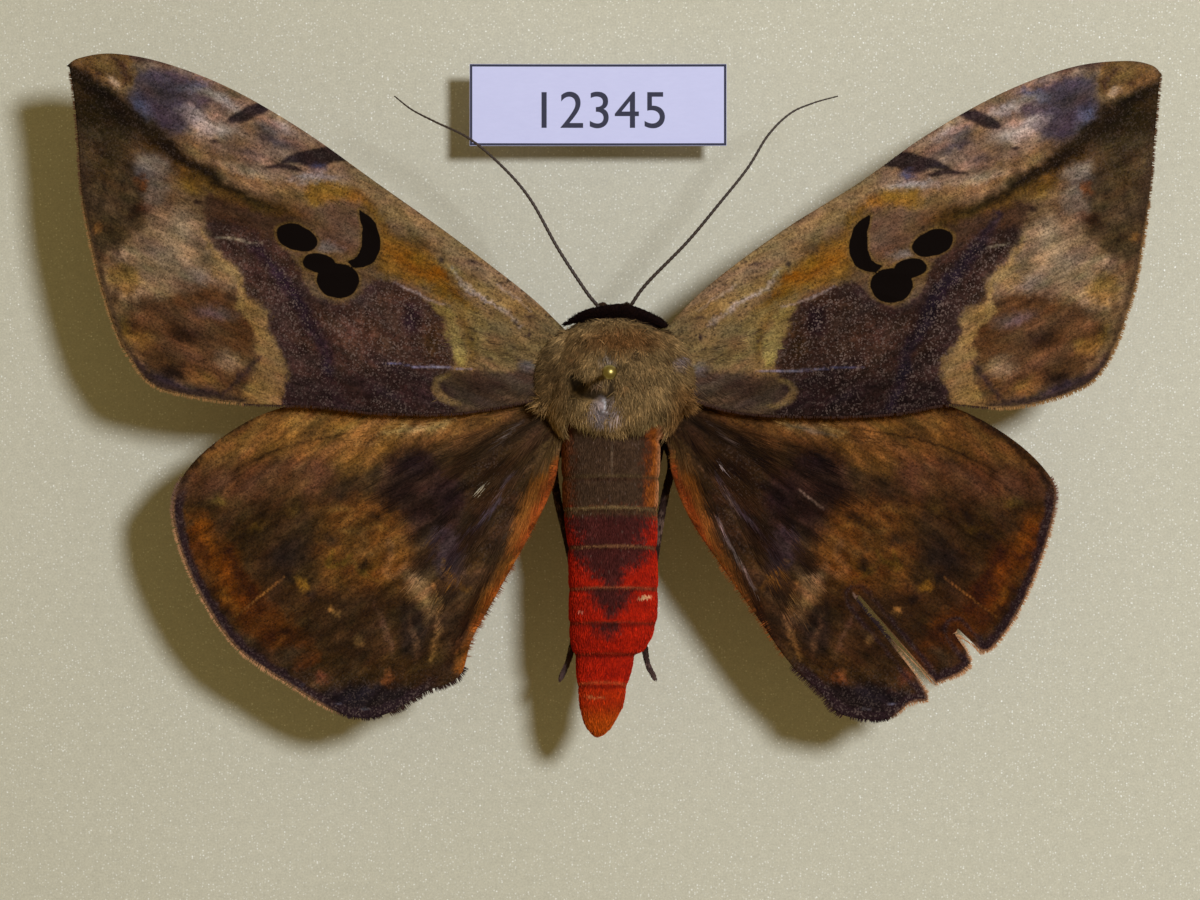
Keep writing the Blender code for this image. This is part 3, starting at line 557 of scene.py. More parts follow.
MEDIAN_FIELD = [
    (27.7, 15.6), (27.3, 14.3), (26.5, 13.1), (25.3, 11.9), (25.1, 10.7), (23.7, 9.9), (23.2, 9.1),
    (23.3, 8.3), (22.7, 7.1), (22, 5.9), (22.1, 4.9), (22.7, 3.9), (22.8, 1.8), (10.4, 1.8), (10.6, 3),
    (11.4, 3.4), (12, 4.1), (11.9, 4.7), (11.2, 5.2), (10.87, 5.9), (11.2, 7.1), (11.75, 8.2),
    (12, 9.25), (12.7, 10.2), (14.8, 11.2), (16.2, 11.6), (17.2, 10.6), (18.8, 9.9), (20.6, 10.8),
    (21.4, 12.4), (22.2, 13.6), (24, 14.6), (26, 15.4),
]

FOREWING_MARKS = [
    ((122, 97, 60), 1.5, [(3, 9), (8, 12.6), (11, 13.6), (12.8, 11.5), (11.6, 9), (10.6, 5.5),
        (3, 5.3)]),
    ((128, 101, 72), 0.9, [(4, 9.6), (9, 13.6), (14, 17.4), (19, 21), (22.6, 23.4), (21.8, 21),
        (19.5, 19), (17.6, 17.8), (15.4, 15.8), (13, 13.9), (10.5, 12.4), (7, 10.4)]),
    ((128, 100, 78), 0.8, [(19.4, 20.9), (24, 24), (29, 26.6), (33, 27.6), (33.5, 25.5), (31, 22.9),
        (28, 20.6), (25, 18.9), (21, 17.6), (18.4, 17.6), (18, 19)]),
    ((128, 97, 66), 0.9, [(31.4, 22.1, 0.1), (29.5, 20.9, 0.3), (27.5, 19.8, 0.45), (25.4, 18.9, 0.5),
        (23, 18.1, 0.5), (20.6, 17.7, 0.3)]),
    ((132, 104, 76), 0.5, [(28, 25.6, 0.15), (26, 24.6, 0.4), (24.2, 23.6, 0.35), (22.5, 22.6, 0.2)]),
    ((76, 54, 44), 0.5, [(34.6, 26.9, 0.15), (32.5, 26.8, 0.35), (30.6, 26.4, 0.35),
        (28.6, 25.8, 0.12)]),
    ((63, 52, 60), 1, [(32.6, 26), (30.2, 25.7), (28.3, 24.9), (26.8, 23.9), (28.2, 22.6), (29, 21.6),
        (30.4, 21.4), (31.9, 22.6), (32.6, 24)]),
    ((92, 90, 104), 1, (31.9, 23.3, 0.8, 0.4, 55)),
    ((68, 56, 62), 0.8, (29.8, 24.9, 1.2, 0.4, 15)),
    ((70, 58, 66), 0.8, (30.1, 22.4, 0.9, 0.35, 30)),
    ((84, 78, 92), 0.6, (28.4, 24.6, 0.9, 0.35, -15)),
    ((176, 158, 142), 0.8, (26.5, 23.6, 1.1, 0.25, 25)),
    ((158, 136, 124), 0.8, (28.3, 22.6, 0.9, 0.35, 20)),
    ((164, 142, 126), 0.9, (26.9, 21.8, 1.2, 0.4, 10)),
    ((84, 66, 60), 0.8, (24.9, 20.2, 1.1, 0.3, 12)),
    ((78, 64, 66), 0.8, (23.1, 21, 1.2, 0.35, 25)),
    ((96, 84, 84), 0.6, (23.7, 21.9, 0.9, 0.25, 20)),
    ((152, 130, 114), 0.6, (22.5, 21.9, 0.8, 0.25, 30)),
    ((160, 134, 112), 0.7, (24.7, 18.9, 1.5, 0.3, 14)),
    ((150, 138, 134), 0.6, (20.4, 18.3, 1.3, 0.3, 0)),
    ((134, 98, 62), 0.7, (25, 18.1, 1.5, 0.3, 16)),
    ((108, 78, 44), 0.5, [(33.6, 27.3), (37.5, 26.3), (36.4, 25.7), (35, 25.1), (34.3, 24.4),
        (33.4, 24.2), (32.7, 25), (32.8, 26.2)]),
    ((72, 46, 32), 0.4, [(34, 26.4, 0.1), (33.5, 25.9, 0.25), (33.1, 25.2, 0.22), (33.3, 24.6, 0.08)]),
    ((60, 40, 26), 0.25, (35, 25.5, 0.26, 0.16, 0)),
    ((152, 124, 96), 0.4, (33.9, 24.8, 0.5, 0.2, 45)),
    ((44, 30, 28), 0.15, (27.1, 20.9, 0.32, 0.12, 5)),
    ((30, 21, 25), 0.25, [(25.9, 22.4, 0.3), (25.2, 22.65, 0.46), (24.4, 23, 0.46), (23.4, 23.3, 0.3)]),
    ((30, 21, 25), 0.25, [(22.5, 19.5, 0.14), (21.5, 19.75, 0.38), (20.7, 19.7, 0.58), (20, 19.75, 0.68),
        (19.3, 20, 0.6), (18.5, 19.9, 0.4), (17.9, 19.7, 0.14)]),
    ((62, 62, 82), 0.5, (19.9, 19, 0.5, 0.22, 0)),
    ((42, 29, 29), 0.2, [(23.9, 19.05, 0.05), (22.9, 19.2, 0.18), (22.1, 19.15, 0.22),
        (21.2, 18.9, 0.08)]),
    ((116, 80, 28), 0.9, [(20.8, 18.1), (18.5, 17.9), (16.9, 17.1), (15.7, 15.8), (15.1, 14.6),
        (14.1, 14.2), (13, 13.4), (12, 12.6), (11.2, 11.6), (10, 10.4), (9.4, 9.6), (11.5, 10.2),
        (12.6, 10.8), (14.8, 11.6), (16, 12.2), (16, 15), (16.8, 16.3), (18, 16.7), (20.6, 16.6)]),
    ((120, 74, 18), 0.7, [(15.4, 13.4, 0.2), (14.2, 12.9, 0.4), (12.8, 12.1, 0.5), (11.5, 11.2, 0.4),
        (10.6, 10.4, 0.15)]),
    ((134, 78, 14), 0.5, (12, 11.8, 0.5, 0.3, 30)),
    ((94, 66, 46), 0.9, [(17.2, 16.5), (19, 16.5), (21.4, 16.2), (22.8, 15.2), (21.6, 13.9),
        (20.2, 13.3), (18.4, 12.9), (17.4, 13.4), (17.3, 15)]),
    ((122, 102, 98), 0.6, (19.3, 13.6, 0.7, 0.3, 10)),
    ((68, 44, 31), 0.8, [(22.6, 16.6), (25.4, 17.4), (27.9, 17.4), (28, 16.2), (27.2, 14.4),
        (25.4, 13.6), (22.8, 13.8), (21.6, 15.2)]),
    ((60, 39, 34), 0.3, MEDIAN_FIELD),
    ((43, 28, 38), 0.9, [(24.4, 14.2, 0.2), (22.7, 11.8, 0.4), (21.3, 9.9, 0.45), (20, 7.4, 0.4),
        (19.2, 5, 0.35), (18.6, 2.8, 0.3)]),
    ((44, 29, 37), 1, (13.8, 8.85, 0.6, 0.9, 0)),
    ((76, 50, 35), 1, (14.6, 10.5, 1.6, 0.4, -15)),
    ((72, 48, 29), 0.9, (12.3, 7.4, 0.5, 1.1, 15)),
    ((78, 52, 42), 1.4, (17, 7.6, 2, 1.1, 20)),
    ((47, 30, 29), 1, [(22.3, 5), (11.4, 5.2), (11, 2), (22.6, 2)]),
    ((92, 64, 24), 0.9, [(31.5, 21, 0.45), (29.3, 19.3, 0.7), (27.2, 18, 0.55), (25, 17, 0.45),
        (23, 16.3, 0.35), (21.4, 15.8, 0.1)]),
    ((36, 26, 12), 1.3, [(37.4, 26.2), (37.3, 24), (37.1, 21.4), (35.4, 21.5), (33.6, 21), (31.8, 20.4),
        (33, 22.8), (35.6, 24.9)]),
    ((28, 19, 8), 0.8, [(37.3, 26.2, 0.2), (35.9, 25, 0.55), (34.6, 24, 0.62), (33, 22.8, 0.7),
        (31.2, 21.3, 0.64), (29.7, 20.1, 0.52), (28.3, 19.1, 0.42), (26.8, 18.15, 0.34),
        (25.2, 17.35, 0.28), (23.7, 16.6, 0.22), (22.2, 16, 0.08)]),
    ((100, 72, 28), 0.8, (28.9, 18.1, 0.9, 0.45, 30)),
    ((64, 48, 30), 1.1, [(37.3, 22.4), (37.1, 17), (36.3, 14.2), (34.6, 13.4), (33, 14.6), (32, 16.4),
        (30.6, 18.3), (31, 19.8), (33.6, 21.5)]),
    ((98, 86, 78), 1, (31.2, 19.3, 1.1, 0.8, 20)),
    ((108, 92, 76), 1, (31.2, 17.4, 0.9, 0.8, 0)),
    ((96, 54, 26), 0.6, (31.9, 18.1, 0.35, 0.4, 20)),
    ((104, 70, 38), 0.5, (35.2, 15.1, 0.35, 0.35, 0)),
    ((58, 34, 19), 0.7, (32, 16.3, 0.9, 0.5, 12)),
    ((56, 38, 24), 0.5, (32.9, 15.9, 0.3, 0.4, 0)),
    ((130, 103, 76), 1.1, [(31.6, 16.4), (29.6, 16.7), (28.2, 15.9), (27.5, 14.6), (26.5, 13.2),
        (25.4, 12), (25.6, 10.8), (27.6, 10.6), (29.6, 10.4), (31.6, 10.2), (33.4, 10.4), (34.4, 12),
        (33.4, 13.6), (32, 14.8)]),
    ((150, 122, 94), 1.6, (29.8, 13.8, 1.2, 1.7, -25)),
    ((134, 110, 92), 1, (28.4, 11.9, 0.9, 0.6, 30)),
    ((150, 118, 70), 0.9, (26.7, 12.2, 0.6, 0.9, -28)),
    ((126, 94, 50), 0.9, (33.2, 11.6, 1.2, 1, 15)),
    ((84, 54, 31), 1.1, [(25.3, 10.9), (27.6, 11.1), (30, 10.7), (32, 10), (33, 8.6), (32.2, 6.4),
        (30, 4.8), (27, 4.2), (25, 4.2), (24.6, 6), (24.2, 8), (24.4, 9.6)]),
    ((42, 27, 17), 0.9, (29, 7.9, 1.3, 0.6, 22)),
    ((44, 29, 19), 0.7, (29.9, 5.3, 0.9, 0.5, -10)),
    ((62, 40, 27), 0.6, (25.8, 10.3, 0.7, 0.22, 0)),
    ((104, 80, 74), 1, (27, 9.3, 1, 0.35, 10)),
    ((118, 84, 40), 1, (32.1, 7.6, 0.8, 0.5, 15)),
    ((118, 84, 40), 0.6, (33, 8.2, 0.25, 0.7, -15)),
    ((118, 92, 70), 1.2, (26, 6, 0.9, 0.6, 10)),
    ((122, 84, 46), 0.8, (28, 4.9, 0.8, 0.5, 20)),
    ((138, 104, 62), 0.4, [(25.5, 10.8), (24, 9.7), (23.3, 9), (23.5, 8.2), (22.8, 7.1), (22.1, 5.9),
        (22.3, 4.8), (22.8, 3.8), (22.9, 2.2), (24.9, 2.2), (24.9, 3.9), (24.1, 5.4), (24.2, 6.6),
        (24.3, 7.8), (24.8, 8.9), (25.8, 9.8)]),
    ((142, 110, 66), 0.4, [(27.8, 14.8, 0.08), (26.9, 13.3, 0.2), (25.8, 12.1, 0.22),
        (25.5, 10.9, 0.15)]),
    ((54, 38, 36), 0.4, [(26.6, 3.5, 0.1), (25.6, 4.6, 0.2), (24.8, 5.5, 0.22), (24, 6.3, 0.08)]),
    ((44, 31, 34), 0.5, [(33.4, 6.8, 0.1), (32.4, 5.6, 0.4), (31.2, 4.7, 0.55), (29.7, 4.1, 0.5),
        (28, 3.7, 0.35), (26.4, 3.4, 0.2), (25, 3.2, 0.06)]),
    ((50, 36, 24), 0.25, [(34.7, 21.5, 0.04), (34.5, 20.6, 0.12), (34.8, 19.9, 0.04)]),
    ((50, 36, 24), 0.25, [(34.5, 18.5, 0.04), (34.6, 17.9, 0.12), (34.4, 17.3, 0.04)]),
    ((50, 36, 24), 0.25, [(34.1, 15.9, 0.04), (34.2, 15.2, 0.13), (34, 14.6, 0.04)]),
    ((56, 40, 26), 0.3, [(33.5, 13.7, 0.04), (33.3, 13.1, 0.15), (33, 12.6, 0.04)]),
    ((40, 26, 20), 0.2, (28.3, 16.8, 0.26, 0.2, 0)),
    ((150, 128, 112), 0.14, [(27, 14.45, 0.01), (25.7, 14.3, 0.04), (24.8, 14.1, 0.05),
        (23.8, 14.05, 0.01)]),
    ((104, 78, 36), 0.9, [(10.6, 9.4, 0.2), (9.9, 7.8, 0.4), (9.6, 6.4, 0.3)]),
    ((128, 108, 60), 0.35, [(12.3, 10.2, 0.12), (11.4, 9.2, 0.42), (10.95, 8, 0.45), (10.6, 6.9, 0.45),
        (10.3, 6, 0.3)]),
    ((72, 54, 40), 0.5, [(3, 5.4), (9.6, 5.3), (11.3, 5.1), (11.6, 4.3), (10.6, 3.2), (10.4, 1.6),
        (3, 2)]),
    ((96, 85, 78), 0.6, (5.8, 5.6, 0.6, 0.35, 0)),
    ((55, 39, 31), 0.8, (8.9, 4.3, 1.4, 0.5, 10)),
    ((106, 82, 50), 0.25, [(11.2, 5, 0.12), (12, 4.65, 0.22), (12.15, 4.2, 0.28), (11.7, 3.6, 0.28),
        (11, 3.2, 0.2), (10.4, 3.1, 0.08)]),
    ((122, 114, 142), 0.12, [(16.9, 5.92, 0), (15.2, 5.85, 0.02), (13.65, 5.7, 0.05),
        (12.4, 5.6, 0.06), (11.2, 5.55, 0.05), (9.6, 5.5, 0)]),
    ((152, 132, 118), 0.3, [(11.3, 12.4, 0.04), (10.1, 11.15, 0.12), (8.5, 10.1, 0.12), (7, 8.85, 0.1),
        (6.4, 8.4, 0.03)]),
    ((142, 122, 106), 0.3, [(8.1, 11.3, 0.04), (7, 10.4, 0.1), (5.8, 9.5, 0.04)]),
    ((150, 132, 126), 0.16, [(14.9, 11.3, 0), (14.06, 10.9, 0.04), (13.2, 10.55, 0.04),
        (12.2, 10.07, 0.05), (11.2, 9.8, 0)]),
    ((48, 36, 30), 0.2, (11.75, 12.8, 0.18, 0.22, 0)),
    ((56, 42, 36), 0.2, [(10.1, 12.85, 0.03), (9.5, 12.75, 0.14), (8.95, 12.6, 0.03)]),
    ((62, 44, 38), 0.2, (5.8, 9.05, 0.3, 0.08, 0)),
    ((56, 40, 34), 0.2, (5.83, 7.76, 0.14, 0.25, 0)),
]

TEARS = [[(16.5, -10), (21.6, -16.3)], [(23.25, -12.3), (25, -14.4)]]
INNER_SHADE = [(9.8, -0.8), (7.6, 0.2), (6.2, -1.2), (7.4, -5), (8.8, -7.4), (10.2, -6.6)]

HINDWING_MARKS = [
    ((126, 84, 40), 1.8, [(3, 5.4), (14, 6), (22, 4.6), (27, 2), (29.8, -1.4), (30.3, -3), (27, -2.6),
        (22, -2), (18, -1.2), (14.5, -0.2), (9, 1.4)]),
    ((94, 60, 36), 1.3, [(30.2, -1.8), (27, -0.9), (23, -0.5), (19.4, -0.9), (19, -2.6), (23, -3.2),
        (29.6, -3.6)]),
    ((138, 94, 44), 0.9, [(24.5, 2, 0.2), (22, 2, 0.45), (19, 1.7, 0.55), (16.5, 1.5, 0.45),
        (13, 1.5, 0.25)]),
    ((138, 97, 52), 0.35, [(17.5, 0.45, 0.05), (15, 0.85, 0.2), (12.6, 1.2, 0.2), (11, 1.7, 0.05)]),
    ((134, 93, 48), 0.3, [(21, 0.95, 0.06), (18.5, 1.4, 0.16), (16, 1.8, 0.14), (13, 2.3, 0.05)]),
    ((182, 140, 84), 0.3, [(16, 1.15, 0.05), (15, 1.3, 0.15), (13, 1.55, 0.24), (12, 1.75, 0.24),
        (10.9, 2.1, 0.08)]),
    ((56, 35, 18), 0.15, [(26.4, -1.7, 0.02), (24.1, -0.5, 0.06), (21.9, 0.35, 0.06), (19.8, 0.85, 0.05),
        (16.7, 1.4, 0.02)]),
    ((54, 34, 16), 0.35, [(23.6, 2.8, 0.12), (25.2, 1.9, 0.24), (26.7, 0.9, 0.28), (28.1, -0.4, 0.28),
        (29.2, -1.5, 0.28), (29.9, -2.6, 0.24)]),
    ((58, 38, 19), 1.9, [(29, -4), (27, -3.4), (24, -3.3), (20.6, -3.1), (18.6, -3.6), (14, -8),
        (12.4, -10), (11.4, -15), (14, -17), (18, -16.6), (20.4, -14.6), (22.2, -12.2), (24.3, -10.2),
        (25.2, -8), (26.8, -6), (28.4, -5)]),
    ((92, 62, 24), 0.6, (24.2, -5.4, 0.5, 0.2, -20)),
    ((84, 58, 26), 0.6, (21.9, -4.1, 0.5, 0.22, -30)),
    ((86, 66, 30), 0.7, (27, -3.5, 0.5, 0.3, 0)),
    ((36, 26, 19), 1.4, (22.4, -7.2, 1.5, 1, -35)),
    ((44, 28, 21), 2.2, [(15.6, -0.6), (13.8, 0), (12, -0.7), (10.4, -1.6), (9.8, -3), (9.6, -4.8),
        (11, -5.8), (13, -5.6), (15, -4.9), (16, -2.8)]),
    ((38, 24, 24), 1.6, (11.4, -3, 1, 1.1, 0)),
    ((38, 24, 24), 1.4, (13.6, -0.9, 0.9, 0.6, 0)),
    ((104, 64, 25), 1.8, [(20.2, -4), (17.6, -3.4), (15, -4.2), (14, -6.4), (14.4, -8.8), (17, -9.4),
        (19.8, -8.8)]),
    ((58, 38, 20), 0.7, (19.2, -6.1, 0.6, 0.35, 20)),
    ((56, 37, 20), 0.7, (16.2, -4.6, 0.6, 0.3, 10)),
    ((58, 38, 20), 0.6, (16.9, -7.9, 0.5, 0.35, -20)),
    ((112, 76, 33), 0.45, [(19.6, -4.3, 0.06), (18.4, -3.8, 0.17), (17.8, -4.1, 0.18),
        (18.7, -5.4, 0.12)]),
    ((114, 78, 35), 0.45, [(18.5, -5.5, 0.1), (17.4, -5.5, 0.2), (16.2, -5.1, 0.14),
        (15.1, -5.5, 0.08)]),
    ((112, 75, 35), 0.45, [(17.3, -5.5, 0.14), (16.8, -6.4, 0.2), (17.4, -6.9, 0.2), (16.2, -7.2, 0.1)]),
    ((122, 81, 45), 0.5, [(15.4, -6.1, 0.1), (15.2, -7.4, 0.22), (15.8, -8.3, 0.22), (14.8, -8.6, 0.18),
        (14.3, -7.7, 0.08)]),
    ((106, 75, 26), 0.3, [(19.1, -6.9, 0.1), (19.4, -8, 0.22), (18.2, -7.6, 0.12), (17.8, -7.1, 0.06)]),
    ((100, 70, 28), 0.3, [(17.9, -7.6, 0.08), (17.1, -8.4, 0.2), (16.2, -9, 0.06)]),
    ((60, 45, 48), 0.9, [(12.2, -5.4), (10.4, -5.6), (9.9, -7.4), (10.8, -8.6), (12.2, -7.8)]),
    ((108, 72, 28), 0.5, [(11.7, -7.6, 0.08), (11, -8.4, 0.22), (10.1, -9.4, 0.1)]),
    ((44, 31, 23), 0.9, [(14.6, -10), (13, -10.6), (12.7, -13.6), (14.4, -14)]),
    ((138, 104, 68), 1.3, [(14.2, -8.5, 0.1), (13.4, -9.3, 0.5), (12.8, -10.3, 0.35),
        (12.4, -11.2, 0.1)]),
    ((126, 88, 50), 0.4, [(12.4, -9, 0.06), (11.9, -10.3, 0.2), (11.9, -11.8, 0.16), (12.2, -13.4, 0.2),
        (12.5, -14.3, 0.05)]),
    ((92, 64, 44), 0.5, [(14, -11.2, 0.05), (13.6, -12.6, 0.14), (13.4, -14.6, 0.05)]),
    ((88, 61, 42), 0.5, [(16.4, -10.4, 0.05), (15.6, -12.4, 0.12), (15.1, -14.2, 0.05)]),
    ((126, 88, 32), 0.4, (21.3, -9.25, 0.48, 0.27, 20)),
    ((34, 23, 16), 0.5, (22.3, -8.8, 0.5, 0.35, 30)),
    ((34, 23, 16), 0.5, (20.5, -10, 0.4, 0.35, 30)),
    ((130, 92, 46), 0.3, (19.2, -10.9, 0.38, 0.24, 30)),
    ((104, 75, 40), 0.4, (17.4, -13, 0.28, 0.42, -10)),
    ((118, 70, 38), 0.5, (15.4, -15.5, 0.4, 0.52, 0)),
    ((92, 52, 34), 0.6, (19.9, -15.4, 0.5, 0.35, 30)),
    ((80, 42, 12), 1.1, [(29.3, -4.2), (28, -4.2), (27.4, -5.5), (26.4, -6.3), (25.3, -7.2),
        (25.4, -8.4), (24.4, -9.2), (23.6, -10.4), (22, -11.4), (21.2, -12.8), (22.6, -13.8),
        (24.2, -13), (26, -11.4), (27.6, -9.2), (28.9, -6.8)]),
    ((106, 56, 13), 0.8, (28.4, -5.2, 0.55, 0.5, 0)),
    ((108, 56, 13), 0.9, [(27.8, -6, 0.3), (27.3, -7.2, 0.5), (26.5, -8.3, 0.45), (26.2, -9.6, 0.3),
        (25.3, -10.6, 0.3)]),
    ((122, 74, 24), 0.5, (26.4, -10, 0.7, 0.22, 50)),
    ((56, 27, 8), 0.7, [(26.3, -6.9, 0.1), (25.6, -8.4, 0.35), (24.7, -9.6, 0.4), (24.2, -10.6, 0.3)]),
    ((58, 29, 10), 0.6, (27.9, -6.9, 0.25, 0.5, -20)),
    ((72, 38, 12), 0.9, [(24.8, -11, 0.3), (23.2, -12.1, 0.5), (21.4, -13.1, 0.4), (20.4, -14, 0.3)]),
    ((96, 56, 20), 0.6, (22.9, -13, 0.7, 0.3, -40)),
    ((88, 48, 20), 0.7, (21, -14.3, 0.9, 0.4, -32)),
    ((48, 27, 12), 0.6, (22.3, -12.3, 0.4, 0.3, 0)),
    ((150, 100, 48), 0.1, [(25.9, -11.3, 0.01), (23.8, -9.7, 0.045), (22.4, -8.6, 0)]),
    ((52, 34, 20), 1.3, INNER_SHADE),
    ((66, 45, 26), 0.6, [(9.6, -9, 0.15), (9.1, -7, 0.25), (8, -4.6, 0.2), (6.9, -2, 0.1)]),
    ((52, 29, 13), 0.7, [(8.6, -8.4, 0.12), (9.6, -10.4, 0.32), (10.4, -12.4, 0.34),
        (11.1, -14.4, 0.3)]),
    ((130, 78, 30), 0.7, [(3.4, 0), (4.6, -0.4), (5.5, -2.4), (6.4, -4), (7.2, -6.3), (8.3, -8.6),
        (9.3, -10.9), (10.3, -13.3), (10.9, -14.9), (9.8, -15.8), (9, -12.9), (7.4, -10), (5.5, -6.4),
        (3.7, -2.5)]),
    ((134, 60, 20), 0.6, [(3.9, -1, 0.2), (4.4, -2.6, 0.36), (5.3, -4.6, 0.4), (6.5, -7, 0.36)]),
    ((134, 68, 20), 0.5, [(6.9, -7.8, 0.36), (8.2, -10.3, 0.42), (9.4, -12.8, 0.42), (10.2, -15, 0.36)]),
    ((88, 62, 34), 0.9, [(3, 1.8, 0.4), (3.9, 0.6, 0.5), (4.6, -0.6, 0.3)]),
    ((33, 25, 28), 0.9, [(20, -16.4), (18, -16), (15, -16.1), (13.8, -16.4), (14.6, -18), (17, -19),
        (20, -18)]),
    ((110, 108, 122), 0.12, [(19.4, -17.3, 0), (18.9, -17.25, 0.05), (18.4, -17.35, 0)]),
    ((104, 102, 116), 0.12, [(17.4, -17.7, 0), (16.9, -17.6, 0.05), (16.5, -17.7, 0)]),
    ((118, 116, 130), 0.12, (21.3, -16, 0.16, 0.08, 0)),
    ((118, 100, 92), 0.2, [(7.7, 0.5, 0), (7, 1.2, 0.07), (6.2, 2, 0.02)]),
    ((84, 70, 76), 0.3, [(6.5, -1.2, 0.02), (8.2, -3.7, 0.07), (10, -5.5, 0)]),
]

OWN_MARKS = {
    "forewing_left": [],
    "forewing_right": [
        ((46, 33, 42), 0.6, [(26, 16.6, 0.2), (24.2, 14, 0.35), (22, 11, 0.35), (20.2, 7.6, 0.35),
            (18.6, 3.4, 0.3)]),
    ],
    "hindwing_left": [((200, 186, 172), 0.1, [(8.6, -1.9, 0), (8.62, -2.2, 0.06), (8.7, -2.5, 0)])],
    "hindwing_right": [
        ((196, 188, 196), 0.12, [(6.6, -0.55, 0), (7, -0.75, 0.08), (7.3, -0.95, 0)]),
        ((126, 104, 88), 0.15, [(12.5, -2.6, 0), (13.4, -3.4, 0.05), (14.3, -4.1, 0)]),
        ((112, 92, 80), 0.15, [(7.2, -2.2, 0), (7.6, -3, 0.04), (8, -3.8, 0)]),
        ((136, 118, 110), 0.2, [(6.9, -4.2, 0.02), (7.7, -6.2, 0.06), (9.6, -9.6, 0.02)]),
        ((136, 112, 84), 0.25, [(11.6, 1.8, 0.04), (13.4, 1.3, 0.14), (15.2, 0.9, 0.04)]),
        ((176, 148, 128), 0.15, [(16.2, -9.8, 0.04), (18.6, -12.7, 0.05), (21.2, -16, 0.05)]),
    ],
}

UNDER_FORE_MARKS = [
    ((150, 102, 56), 2, [(3, 2), (22, 3), (30, 8), (28, 16), (14, 14), (3, 8)]),
    ((100, 66, 40), 0.9, [(33, 5, 0.3), (34, 14, 0.4), (33.6, 20, 0.4), (31, 24.6, 0.3)]),
    ((72, 46, 32), 0.7, [(24, 3.4, 0.2), (25.6, 8, 0.3), (27.4, 14, 0.3), (27, 20, 0.25),
        (25, 23, 0.2)]),
    ((50, 32, 26), 0.5, (18.4, 14.2, 0.8, 0.9, 0)),
]
UNDER_HIND_MARKS = [
    ((156, 100, 52), 2, [(3, 4), (18, 3), (24, -3), (20, -11), (12, -14), (5, -5)]),
    ((100, 62, 36), 0.9, [(28, -2, 0.3), (27.4, -7, 0.4), (24, -12, 0.4), (18, -16, 0.3)]),
    ((74, 46, 30), 0.7, [(22.6, 2, 0.2), (22.4, -4, 0.3), (19, -10, 0.3), (13, -14, 0.2)]),
    ((54, 36, 28), 0.5, (13, -1.4, 0.6, 0.7, 0)),
]
MARK_STRENGTH = 0.95
CRISP = 0.25
WARM = np.array([0.06, 0.0, -0.3])
RED = np.array([0.08, -0.11, -0.06])


def disc_depth(places, x, y, long, short, angle):
    """How deep each place lies inside an ellipse, about in millimetres."""
    turn = math.radians(angle)
    away = places - np.array([x, y])
    along = away @ np.array([math.cos(turn), math.sin(turn)]) / long
    across = away @ np.array([-math.sin(turn), math.cos(turn)]) / short
    return (1 - np.hypot(along, across)) * min(long, short) * 1.15


def trail_depth(places, line):
    """How deep each place lies inside a line of varying half width."""
    fine = smooth_curve(line, 0.5)
    reach, where = line_distance(places, fine)
    width = np.interp(where, np.linspace(0, 1, len(fine)), fine[:, 2])
    return width - reach


def area_depth(places, outline):
    """How deep each place lies inside a rounded outline."""
    rim = smooth_curve(list(outline) + [outline[0]], 0.8)[:-1]
    reach, _ = line_distance(places, np.vstack([rim, rim[:1]]))
    return np.where(inside(places, rim), reach, -reach)


def mark_depth(places, shape):
    """How deep each place lies inside one mark, worked out only near it.

    Five numbers are a disc: its place, half length, half breadth and turn. A list of triples is a
    line with its half widths, and a list of pairs is an area.
    """
    if not isinstance(shape, list):
        corners = np.array(shape[:2]) + max(shape[2:4]) * np.array([[-1, -1], [1, 1]])
        measure = lambda near: disc_depth(near, *shape)
    else:
        corners = np.array(shape, float)[:, :2]
        measure = lambda near: (trail_depth if len(shape[0]) == 3 else area_depth)(near, shape)
    reach = 2.2
    near = np.all((places > corners.min(axis=0) - reach) & (places < corners.max(axis=0) + reach), axis=1)
    depths = np.full(len(places), -reach)
    if near.any():
        depths[near] = measure(places[near])
    return depths


def ragged(places, seed):
    """The places moved a little at random, so that the marks' edges look powdered."""
    draw = np.random.default_rng(seed)
    wide = [cloud(places, 1.7, seed + k) * 0.3 + noise(places, 0.36, seed + 5 + k) * 0.16 for k in (0, 3)]
    return places + columns(*wide) + 0.05 * draw.standard_normal(places.shape)


def painted(places, ground, marks, seed):
    """The wing's colours at these places, with the marks laid on in order."""
    colours = plain(places, ground)
    moved = ragged(places, seed)
    for colour, softness, shape in marks:
        where = moved if softness > CRISP else 0.3 * moved + 0.7 * places
        share = MARK_STRENGTH * ease(-softness / 2, softness / 2, mark_depth(where, shape))
        colours = over(colours, colour, share)
    return colours


def over(colours, colour, share):
    """One more colour laid over the others by a share for each place."""
    return colours + share[:, None] * (light_of(colour) - colours)


def ink_depth(places):
    """How deep each place lies inside the forewing's black spots."""
    return np.max([mark_depth(places, shape) for shape in INK_SPOTS], axis=0)


def along_wing(places, root, middle):
    """Places as distance from the root and distance across the wing, for its scales and hairs."""
    reach, turn = root_angle(places, root)
    return columns(reach, (turn - middle) * reach)


def mottled(lie, colours, amount, seed):
    """The colours broken into warmer, redder, paler and darker flecks that run along the wing."""
    blotch = cloud(lie, (1.8, 0.9), seed, 4)
    flecks = cloud(lie, (0.7, 0.42), seed + 11, 2)
    strokes = cloud(lie, (1.5, 0.2), seed + 21, 2)
    light = np.exp(amount * (1.2 * blotch + 0.8 * flecks) + 0.2 * strokes - 0.04)
    warm = cloud(lie, (2.4, 1.1), seed + 31, 3)
    red = cloud(lie, (1.2, 0.6), seed + 41, 2)
    hue = np.exp(warm[:, None] * WARM + red[:, None] * RED)
    return colours * hue * light[:, None]


FOREWING_ROOT = (3.5, 6.0)
FOREWING_WAY = 0.45
HINDWING_ROOT = (3.8, 3.0)
HINDWING_WAY = -0.6


